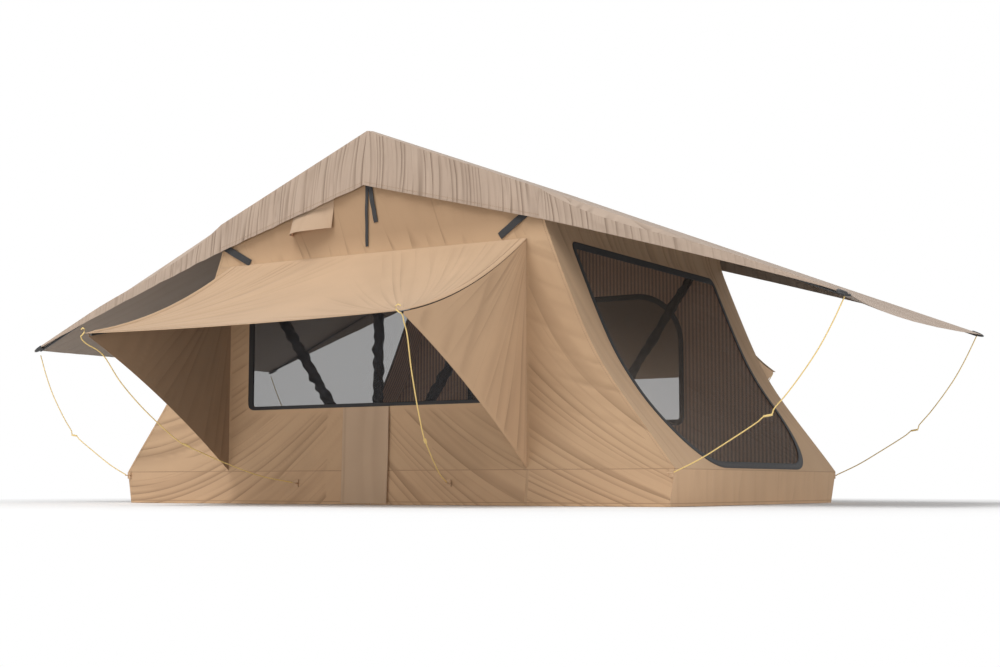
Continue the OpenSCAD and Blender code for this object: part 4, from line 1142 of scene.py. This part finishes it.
class TENT_OT_fly(bpy.types.Operator):
    """Spreads the fly: two slopes with their valances, and two ends on their rods."""
    bl_idname = "tent.fly"
    bl_label = "Fly"

    def execute(self, context):
        s = sizes()
        for number, (half, hx) in enumerate(HALVES):
            rows = np.linspace(0, s.bow_line, 60)
            piece = self.cloth(f"{half}_fly_slope", BASE[half], hx, rows, 0.0, 31 + number, 41 + 10 * number)
            flatten(piece)
            rows = np.linspace(s.bow_line, fly_reach(hx), 80)
            piece = self.cloth(f"{half}_fly_end", f"{half}_bow", hx, rows, s.fly_sag, 33 + number, 45 + 10 * number)
            self.gather(piece, half, hx)
            self.rods(half, hx)
        return {"FINISHED"}

    def cloth(self, name, body, hx, rows, sag, seed, side_seed):
        """One part of the fly with its two valances."""
        patches = [self.top(hx, rows, sag, seed)]
        patches += [self.valance(hx, sy, rows, side_seed + k) for k, (_, sy) in enumerate(SIDES)]
        return make(f"{name}_cloth", patches, ("fly_cloth", "fly_lining"), body, "fly_cloth", name,
                    thick=sizes().cloth)

    def gather(self, piece, half, hx):
        """Gives the piece its own copy of its mesh."""
        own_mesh(piece)

    def top(self, hx, rows, sag, seed):
        s = sizes()
        across = np.linspace(-1, 1, 90)
        x, v = np.meshgrid(rows, across, indexing="ij")
        if sag:
            u = (x - s.bow_line) / (rows[-1] - s.bow_line)
            reach = fly_reach(hx) - s.fly_cut * (1 - v * v)
            x = s.bow_line + (reach - s.bow_line) * u
            z = fly_height(x) - fly_droop(hx, x) - sag * u * u * (1 - v * v)
        else:
            z = fly_height(x)
        fold = 0.6 * folds(s.fly_out * v + 0.3 * x, x, seed, spacing=0.09, width=0.012, reach=0.3)
        calm = np.clip((1 - np.abs(v)) / 0.06, 0, 1) * np.clip((x - rows[0]) / 0.05, 0, 1)
        z = z - 0.002 * fold * calm - fly_shoulder(x) * fade(np.abs(v), 1 - ROD_INSET / s.fly_out, 1)
        spot = np.stack([x, s.fly_out * v], -1)
        lines = drape(s.fly_out * v + 0.3 * x, x + seed, 0.45 * calm, pitch=0.06, run=0.6)
        place = np.stack([hx * x - ridge_lean(x, 0) * (np.abs(v) > 0.99), s.fly_out * v, z], -1)
        return patch(place, spot, fold * 0.5, out=(0, 0, 1), lines=lines)

    def valance(self, hx, sy, rows, seed):
        s = sizes()
        x, v = np.meshgrid(rows, np.linspace(0, 1, 26), indexing="ij")
        top = fly_height(x) - fly_shoulder(x) - fly_droop(hx, x)
        drop = valance_drop(x) - fly_shoulder(x)
        z = top - drop * v
        fold = folds(x + 0.22 * (z - top), v, seed, spacing=0.028, width=0.006, reach=0.6)
        hem = np.exp(-((1 - v) * drop / 0.0045) ** 2)
        wave = 0.0022 * np.sin(x * 31 + seed) + 0.0015 * np.sin(x * 67 + 2 * seed)
        y = s.fly_out + (wave - 0.004 * fold) * np.clip(v * drop / 0.05, 0, 1)
        # The hem is painted darker: a painted shadow line along the foot of the valance.
        fold = np.maximum(fold * np.clip(v * drop / 0.02, 0.3, 1), 0.8 * hem)
        lean = x + 0.20 * (z - top) + 0.6 * (z - top) ** 2
        lines = drape(lean, top - z + seed, fade(drop, 0.005, 0.06), pitch=0.019, run=0.45)
        place = np.stack([hx * x - ridge_lean(x, v), sy * y, z], -1)
        return patch(place, np.stack([x, z], -1), fold, out=(0, sy, 0), lines=lines)

    def rods(self, half, hx):
        """Fibre rods in the fly's end hems, with moulded caps on the corners."""
        s = sizes()
        y = s.fly_out - ROD_INSET
        ends = np.array([s.bow_line + 0.008, fly_reach(hx) - 0.006])
        start, stop = np.stack([hx * ends, 0 * ends, fly_height(ends) - fly_droop(hx, ends) - 0.0108], -1)
        span = np.linalg.norm(stop - start)
        way = (stop - start) / span
        patches = []
        for _, sy in SIDES:
            base = start + np.array([0, sy * y, 0])
            t = np.linspace(0, span - 0.012, 14)
            patches += tube_patches(base + t[:, None] * way, ring(ROD))
            t = span + np.array([-0.036, -0.034, -0.022, -0.006, 0.006, 0.011])
            wide = np.array([0.0080, 0.0092, 0.0094, 0.0085, 0.0060, 0.0025])
            tall = np.array([0.0066, 0.0078, 0.0078, 0.0070, 0.0045, 0.0018])
            middle = base + np.array([0, sy * 0.0115, 0.0056])
            section = round_box(20) * np.stack([wide, tall], -1)[:, None]
            patches += tube_patches(middle + t[:, None] * way, section)
        piece = make(f"{half}_fly_rod_pair", patches, ("fibre_rod",), f"{half}_bow", "fibre_rod", f"{half}_fly_rods")
        self.gather(piece, half, hx)


class TENT_OT_awnings(bpy.types.Operator):
    """Stretches the window awnings over their wands and hangs the wings below them."""
    bl_idname = "tent.awnings"
    bl_label = "Awnings and wings"

    def execute(self, context):
        seed = 71
        for side, sy in SIDES:
            for half, hx in HALVES:
                self.panel(side, sy, half, hx, seed)
                self.wing(side, sy, half, hx, seed + 1)
                seed += 2
        return {"FINISHED"}

    def panel(self, side, sy, half, hx, seed):
        s = sizes()
        name = f"{side}_{half}_awning"
        columns = np.concatenate([np.linspace(0, 0.93, 46), np.linspace(0.936, 1, 12)])
        t, a = np.meshgrid(columns, np.linspace(0, 1, 64), indexing="ij")
        x = awning_edge(a, hx) * t
        z = awning_line(a) - s.awning_sag * a * a * (1 - t * t)
        fan = np.arctan2(1.02 - a, 1.03 - t)
        fold = 0.7 * folds(fan, a, seed, spacing=0.10, width=0.018, reach=0.5)
        fold = fold * np.clip(a * 1.4, 0, 1) * fade(t, 0, 0.3)
        edge = (1 - t) * awning_edge(a, hx)
        seam = np.maximum(np.exp(-((edge - 0.027) / 0.0035) ** 2), np.exp(-((edge - 0.002) / 0.003) ** 2))
        hem = np.exp(-(((1 - a) * s.awning_reach - 0.022) / 0.003) ** 2)
        calm = np.clip((1 - t) / 0.06, 0, 1) * np.clip((1 - a) / 0.05, 0, 1) * np.clip(a / 0.04, 0, 1)
        roll = 0.006 * np.exp(-((edge - 0.014) / 0.008) ** 2) * fade(a, 0.02, 0.12) * fade(a, 1.0, 0.94)
        z = z - 0.004 * fold * calm + roll
        fold = np.clip(np.maximum(fold * calm, np.maximum(0.9 * seam, 0.35 * hem)), 0, 1)
        points = np.stack([hx * x, sy * awning_out(a), z], -1)
        uv = np.stack([x, a * s.awning_reach * 1.1], -1)
        lines = drape(0.45 * fan, np.hypot(1 - a, 1 - t) + seed, fade(t, 0.05, 0.5) * calm, pitch=0.026, run=1.2)
        piece = make(f"{name}_cloth", [patch(points, uv, fold, out=(0, 0, 1), lines=lines)],
                     ("awning_canvas", "awning_lining"), name, "awning_cloth", name, thick=s.cloth)
        flatten(piece, awning_level())
        a = np.linspace(0.02, 0.97, 30)
        route = np.stack([awning_edge(a, hx) - 0.014, awning_out(a), awning_line(a) - 0.0085], -1)
        wand = make(f"{name}_wand", tube_patches(mirrored(route, hx, sy), ring(ROD)), ("fibre_rod",), name,
                    "fibre_rod")
        flatten(wand, awning_level())

    def wing(self, side, sy, half, hx, seed):
        s = sizes()
        name = f"{side}_{half}_wing"
        foot, tip = s.skirt_top + 0.014, awning_line(1.0)
        a, t = np.meshgrid(np.linspace(0, 0.97, 60), np.linspace(0, 1, 64), indexing="ij")
        low = foot + (tip - foot) * a + s.wing_cut * 4 * a * (1 - a)
        high = np.maximum(awning_line(a) - 0.0055, low + 0.0025)
        z = low + (high - low) * t
        fold = 0.8 * folds(a * s.awning_reach + 0.55 * (z - 0.5), z, seed, spacing=0.07, width=0.010, reach=0.35)
        hem = np.exp(-((z - low) / 0.004) ** 2)
        calm = np.clip((z - low) / 0.03, 0, 1) * np.clip((high - z) / 0.02, 0, 1) * np.clip(a / 0.03, 0, 1)
        x = awning_edge(a, hx) - 0.0031 - 0.004 * fold * calm
        points = np.stack([hx * x, sy * awning_out(a), z], -1)
        uv = np.stack([a * s.awning_reach, z], -1)
        fold = np.clip(np.maximum(fold * calm, 0.5 * hem), 0, 1)
        fan = np.arctan2(s.awning_high + 0.03 - z, a * s.awning_reach + 0.03)
        lines = drape(0.40 * fan, z + seed, 0.9 * calm * fade(a, 0.75, 0.25), pitch=0.034, run=0.8)
        piece = make(f"{name}_cloth", [patch(points, uv, fold, out=(hx, 0, 0), lines=lines)],
                     ("wing_canvas", "wing_lining"), name, "canopy_cloth", name, thick=s.cloth)
        flatten(piece, awning_level())


class TENT_OT_skirts(bpy.types.Operator):
    """Sews the skirts round the base halves."""
    bl_idname = "tent.skirts"
    bl_label = "Skirts"

    def execute(self, context):
        s = sizes()
        for number, (half, hx) in enumerate(HALVES):
            v = np.linspace(0, 1, 26)
            tall = s.seam_height - s.skirt_low
            patches = []
            for k, (_, sy) in enumerate(SIDES):
                u, h = np.meshgrid(np.linspace(0, 1, 110), v, indexing="ij")
                end = s.half_length - s.skirt_lean * (1 - h)
                x = 0.0012 + (end - 0.0012) * u
                z = s.skirt_low + tall * h
                seed = wall_seed(number, k)
                fold, calm = self.trim(wall_folds(hx * x, z, seed), h, tall)
                calm = calm * np.clip((end - x) / 0.03, 0, 1)
                y = s.half_depth - 0.003 * fold * calm
                patches.append(patch(np.stack([hx * x, sy * y, z], -1), np.stack([hx * x, z], -1), fold,
                                     out=(0, sy, 0), lines=wall_drape(hx * x, z, seed)))
            y, h = np.meshgrid(np.linspace(-s.half_depth, s.half_depth, END_COLUMNS), v, indexing="ij")
            z = s.skirt_low + tall * h
            fold = 0.6 * folds(y + 0.3 * z, z, 91 + number, spacing=0.07, width=0.009, reach=0.2)
            fold, calm = self.trim(fold, h, tall)
            calm = calm * np.clip((s.half_depth - np.abs(y)) / 0.03, 0, 1)
            x = s.half_length - s.skirt_lean * (1 - h) - 0.003 * fold * calm
            lines = drape(y + 0.3 * z, z + number, 0.3 + 0 * y, pitch=0.05, run=0.3)
            patches.append(patch(np.stack([hx * x, y, z], -1), np.stack([y, z], -1), fold, out=(hx, 0, 0),
                                 lines=lines))
            piece = make(f"{half}_skirt_cloth", patches, ("skirt_canvas", "skirt_lining"), BASE[half],
                         "skirt_cloth", f"{half}_skirt", thick=s.cloth)
        return {"FINISHED"}

    def trim(self, fold, h, tall):
        """Folds with the hem and its stitch line, and where the cloth may move."""
        line = np.exp(-((h * tall - 0.010) / 0.0022) ** 2)
        calm = np.clip(h / 0.12, 0, 1) * np.clip((1 - h) / 0.1, 0, 1)
        return np.clip(np.maximum(fold * 0.9, 0.4 * line), 0, 1), calm


class TENT_OT_sleeves(bpy.types.Operator):
    """Pulls the gathered black sleeves over the bow legs."""
    bl_idname = "tent.sleeves"
    bl_label = "Bow sleeves"

    def execute(self, context):
        for number, name in enumerate(("left_bow", "ridge_bow", "right_bow")):
            patches = []
            for k, (_, sy) in enumerate(SIDES):
                patches += self.gathered(self.leg(name, sy), 110 + 10 * number + k)
            piece = make(f"{name}_sleeve_pair", patches, ("sleeve_cloth",), name, "pole_sleeve", f"{name}_sleeves",
                         sharp=70)
        return {"FINISHED"}

    def leg(self, name, sy):
        """Middle line of a sleeve, from its lower to its upper end."""
        tube = 0.008
        y = (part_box(name)[1].y - tube) * sy
        hx = {"left_bow": -1, "ridge_bow": 0, "right_bow": 1}[name]
        if hx:
            foot, head, reach = np.array([hx * 0.045, y, 0.140]), np.array([hx * 0.700, y, 1.06496]), 1.1334
        else:
            foot, head, reach = np.array([0, y, 0.125]), np.array([0, y, 1.34496]), 1.21996
        t = np.linspace(0.090 / reach, (reach - 0.110) / reach, 90)[:, None]
        return foot + (head - foot) * t

    def gathered(self, route, seed):
        draw = np.random.default_rng(seed)
        n, m = len(route), 24
        run = np.linspace(0, 1, n)[:, None]
        angle = np.linspace(0, 2 * math.pi, m + 1)[None]
        size = np.full((n, m + 1), 0.0185)
        for _ in range(9):
            waves, turns, phase = draw.uniform(20, 170), draw.integers(0, 4), draw.uniform(0, 6.28)
            size = size + draw.uniform(0.0006, 0.0018) * np.sin(waves * run + turns * angle + phase)
        size[:, -1] = size[:, 0]
        ends = 1 - 0.35 * np.exp(-(run / 0.02) ** 2) - 0.35 * np.exp(-((1 - run) / 0.02) ** 2)
        size = size * ends
        section = np.stack([np.cos(angle) * size, np.sin(angle) * size], -1)
        return tube_patches(route, section, twist_up=(0, 1, 0))


class TENT_OT_mattresses(bpy.types.Operator):
    """Lays the two mattress halves on their floors."""
    bl_idname = "tent.mattresses"
    bl_label = "Mattresses"

    def execute(self, context):
        for half, _ in HALVES:
            patches = self.pad(*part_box(f"{half}_mattress"))
            piece = make(f"{half}_mattress_pad", patches, ("mattress_cover",), BASE[half], "mattress_cover",
                         f"{half}_mattress", sharp=80)
        return {"FINISHED"}

    def pad(self, low, high):
        """Crowned closed form with sides that pull in and sewn channels across its top."""
        u, v = np.meshgrid(np.linspace(0, 1, 90), np.linspace(0, 1, 110), indexing="ij")

        def dome(t):
            return 1 - np.abs(2 * t - 1) ** 4

        edge = high.z - 0.008
        channel = 0.003 * np.exp(-(np.mod(v * 6 + 0.5, 1) - 0.5) ** 2 / 0.0016) * dome(u) * (np.abs(v - 0.5) < 0.45)
        x = low.x + (high.x - low.x) * u - 0.008 * dome(v) * (2 * u - 1)
        y = low.y + (high.y - low.y) * v - 0.008 * dome(u) * (2 * v - 1)
        top = edge + 0.008 * dome(u) * dome(v) - channel
        rim = np.minimum(np.minimum(u, 1 - u) * (high.x - low.x), np.minimum(v, 1 - v) * (high.y - low.y))
        top = top - 0.010 * np.clip(1 - rim / 0.012, 0, 1) ** 2
        # The sewn channels are painted darker by their depth: painted shade in them.
        fold = np.clip(channel / 0.003, 0, 1)
        made = [patch(np.stack([x, y, top], -1), np.stack([x, y], -1), fold, out=(0, 0, 1)),
                patch(np.stack([x, y, 0 * x + low.z], -1), np.stack([x, y], -1), out=(0, 0, -1))]
        h = np.linspace(0, 1, 9)
        for pick, out in (((0, slice(None)), (-1, 0, 0)), ((-1, slice(None)), (1, 0, 0)),
                          ((slice(None), 0), (0, -1, 0)), ((slice(None), -1), (0, 1, 0))):
            ex, ey, ez = x[pick], y[pick], top[pick]
            belly = 0.004 * np.sin(np.pi * h)[:, None]
            side = np.stack([ex[None] + belly * out[0] * 0.5, ey[None] + belly * out[1] * 0.5,
                             low.z + (ez[None] - low.z) * h[:, None]], -1)
            run = np.broadcast_to((ex + ey)[None], side.shape[:2])
            made.append(patch(side, np.stack([run, side[..., 2]], -1), out=out))
        return made


class TENT_OT_straps(bpy.types.Operator):
    """Sews the black tie straps onto the front and back walls."""
    bl_idname = "tent.straps"
    bl_label = "Tie straps"

    def execute(self, context):
        lines = {"left": [((-0.577, 0.916), (-0.721, 0.994), 0.026), ((-0.023, 0.935), (-0.026, 1.168), 0.012),
                          ((0.017, 1.021), (-0.014, 1.168), 0.018)],
                 "right": [((0.546, 0.924), (0.660, 1.001), 0.026)]}
        for half, _ in HALVES:
            patches = []
            for _, sy in SIDES:
                for a, b, wide in lines[half]:
                    patches += self.strap(np.array(a), np.array(b), wide / 2, sy)
            piece = make(f"{half}_tie_straps", patches, ("black_webbing",), BASE[half], "black_webbing", sharp=50)
            flatten(piece)
        return {"FINISHED"}

    def strap(self, a, b, wide, sy):
        t = np.linspace(0, 1, 30)
        spot = a + (b - a) * t[:, None]
        slack = 0.003 * np.sin(np.pi * t) + 0.001 * np.sin(14 * t)
        route = np.stack([spot[:, 0], sy * (sizes().half_depth + 0.0025 + slack), spot[:, 1]], -1)
        thick = 0.0007
        section = [(-wide, -thick), (-wide, thick), (0, thick * 1.3), (wide, thick), (wide, -thick), (-wide, -thick)]
        return tube_patches(route, np.array(section), twist_up=(0, sy, 0))


class TENT_OT_stitching(bpy.types.Operator):
    """Sews rows of stitches along bindings, hems and seams."""
    bl_idname = "tent.stitching"
    bl_label = "Stitching"

    # Distance between the points of the lines beside the openings
    STEP = 0.01

    def execute(self, context):
        tree = self.tree()
        s = sizes()
        for half, hx in HALVES:
            dark, plain = [], []
            for _, sy in SIDES:
                for spot in self.tape_rows(*half_window(sy, self.STEP), WINDOW_TAPE):
                    dark.append(self.on_wall(hx * spot[:, 0], sy * (s.half_depth + STITCH_LIFT), spot[:, 1]))
                rows = wall_rows()[0][2:-2]
                plain.append(self.on_wall(hx * (end_wall_x(rows) - 0.010), sy * (s.half_depth + 0.0003), rows))
                x = np.linspace(0.01, s.bow_line - 0.004, 80)
                z = fly_height(x) - valance_drop(x) + 0.012
                plain.append(self.on_wall(hx * x - ridge_lean(x, 0.93), sy * (s.fly_out + 0.0030), z))
            for spot in self.tape_rows(*opening_outline(*door_shape(), step=self.STEP), DOOR_TAPE):
                dark.append(end_wall_point(spot[:, 0], spot[:, 1], STITCH_LIFT) * np.array([hx, 1, 1]))
            self.sew(tree, f"{half}_binding_stitches", dark, "dark_thread", BASE[half], "black_webbing")
            self.sew(tree, f"{half}_wall_stitches", plain, "thread", BASE[half], "canopy_cloth")
        for side, sy in SIDES:
            for half, hx in HALVES:
                a = np.linspace(0.01, 0.99, 60)
                edge = np.stack([awning_edge(a, hx) - 0.028, awning_out(a), awning_line(a) + 0.0006], -1)
                t = np.linspace(0.01, 0.95, 60)
                front = np.stack([awning_edge(0.97, hx) * t, awning_out(0.97) + 0 * t,
                                  awning_line(0.97) - s.awning_sag * 0.97 ** 2 * (1 - t * t) + 0.0004], -1)
                self.sew(tree, f"{side}_{half}_awning_stitches", [mirrored(edge, hx, sy), mirrored(front, hx, sy)],
                         "thread", f"{side}_{half}_awning", "awning_cloth", awning_level())
        return {"FINISHED"}

    def tape_rows(self, points, outs, tape):
        """Lines of the two rows of stitches on the tape beside an outline."""
        wide = binding_width(outs, *tape)
        return [points + outs * (share * wide)[:, None] for share in STITCH_ROWS]

    def on_wall(self, x, y, z):
        """Line of points at one distance from the tent's middle plane."""
        return np.stack([x, 0 * x + y, z], -1)

    def tree(self):
        """Stitches along curves: each a short thread laid along the line."""
        tree = bpy.data.node_groups.new("stitch_row", "GeometryNodeTree")
        sockets = {}
        tree.interface.new_socket("Geometry", in_out="INPUT", socket_type="NodeSocketGeometry")
        for name, default in (("Pitch", 0.008), ("Stitch length", 0.005), ("Thread", 0.0011)):
            made = tree.interface.new_socket(name, in_out="INPUT", socket_type="NodeSocketFloat")
            made.default_value = default
            sockets[name] = made.identifier
        made = tree.interface.new_socket("Material", in_out="INPUT", socket_type="NodeSocketMaterial")
        sockets["Material"] = made.identifier
        tree.interface.new_socket("Geometry", in_out="OUTPUT", socket_type="NodeSocketGeometry")
        given = node(tree, "NodeGroupInput").outputs
        line = node(tree, "GeometryNodeMeshToCurve", {"Mesh": given["Geometry"]})
        even = node(tree, "GeometryNodeResampleCurve", mode="LENGTH")
        feed(tree, even.inputs, {"Curve": line.outputs["Curve"], "Length": given["Pitch"]})
        thread = node(tree, "GeometryNodeMeshCylinder", {
            "Vertices": 6, "Radius": math_node(tree, "MULTIPLY", given["Thread"], 0.5),
            "Depth": given["Stitch length"]})
        way = node(tree, "GeometryNodeInputTangent")
        turn = node(tree, "FunctionNodeAlignRotationToVector", {"Vector": way.outputs[0]}, axis="Z")
        lay = node(tree, "GeometryNodeInstanceOnPoints", {
            "Points": even.outputs["Curve"], "Instance": thread.outputs["Mesh"], "Rotation": turn.outputs[0]})
        real = node(tree, "GeometryNodeRealizeInstances", {0: lay.outputs[0]})
        dress = node(tree, "GeometryNodeSetMaterial", {"Geometry": real.outputs[0], "Material": given["Material"]})
        node(tree, "NodeGroupOutput", {0: dress.outputs[0]})
        return tree, sockets

    def sew(self, made, name, lines, thread, body, slot, level=None):
        tree, sockets = made
        points, edges = [], []
        for line in lines:
            edges += [(len(points) + k, len(points) + k + 1) for k in range(len(line) - 1)]
            points += line.tolist()
        mesh = bpy.data.meshes.new("seam_lines")
        mesh.from_pydata(points, edges, [])
        guide = linked("seam_lines", mesh)
        rows = guide.modifiers.new("Stitches", "NODES")
        rows.node_group = tree
        rows[sockets["Pitch"]] = sizes().stitch
        rows[sockets["Material"]] = finish(thread)
        ready = guide.evaluated_get(bpy.context.evaluated_depsgraph_get())
        sewn = bpy.data.meshes.new_from_object(ready)
        sewn.name = name
        bpy.data.objects.remove(guide)
        bpy.data.meshes.remove(mesh)
        if not len(sewn.polygons):
            raise RuntimeError(f"{name} has no stitches")
        flatten(put(linked(name, sewn), body, slot), level)


class TENT_OT_hardware(bpy.types.Operator):
    """Gives the rails, frames, floors, bows and fittings their finishes."""
    bl_idname = "tent.hardware"
    bl_label = "Hardware finishes"

    def execute(self, context):
        slots = {p["node"]: p["material_slot"] for p in frame["record"]["subparts"]}
        for name, piece in frame["nodes"].items():
            if piece.hide_render:
                continue
            look = "ring_webbing" if name.endswith("skirt_rings") else slots[name]
            if look not in FINISHES:
                raise RuntimeError(f"{name} shows and has no finish")
            piece.data.materials.clear()
            piece.data.materials.append(finish(look))
        return {"FINISHED"}


OPERATORS = (TENT_OT_stage, TENT_OT_guy_cords, TENT_OT_canopy, TENT_OT_openings, TENT_OT_fly, TENT_OT_awnings,
             TENT_OT_skirts, TENT_OT_sleeves, TENT_OT_mattresses, TENT_OT_straps, TENT_OT_stitching, TENT_OT_hardware)


class TENT_PT_build(bpy.types.Panel):
    """Lists the steps that build the tent."""
    bl_idname = "TENT_PT_build"
    bl_label = "Roof top tent"
    bl_space_type = "VIEW_3D"
    bl_region_type = "UI"
    bl_category = "Tent"

    def draw(self, context):
        for step in OPERATORS:
            self.layout.operator(step.bl_idname)
        for group in (context.scene.tent_sizes, context.scene.tent_colours):
            box = self.layout.box()
            for key in group.__annotations__:
                box.prop(group, key)


CLASSES = (TentSizes, TentColours) + OPERATORS + (TENT_PT_build,)


def register():
    for made in CLASSES:
        bpy.utils.register_class(made)
    bpy.types.Scene.tent_sizes = PointerProperty(type=TentSizes)
    bpy.types.Scene.tent_colours = PointerProperty(type=TentColours)


def unregister():
    del bpy.types.Scene.tent_colours
    del bpy.types.Scene.tent_sizes
    for made in reversed(CLASSES):
        bpy.utils.unregister_class(made)


def main():
    register()
    for step in OPERATORS:
        group, name = step.bl_idname.split(".")
        getattr(getattr(bpy.ops, group), name)()


if __name__ == "__main__":
    main()
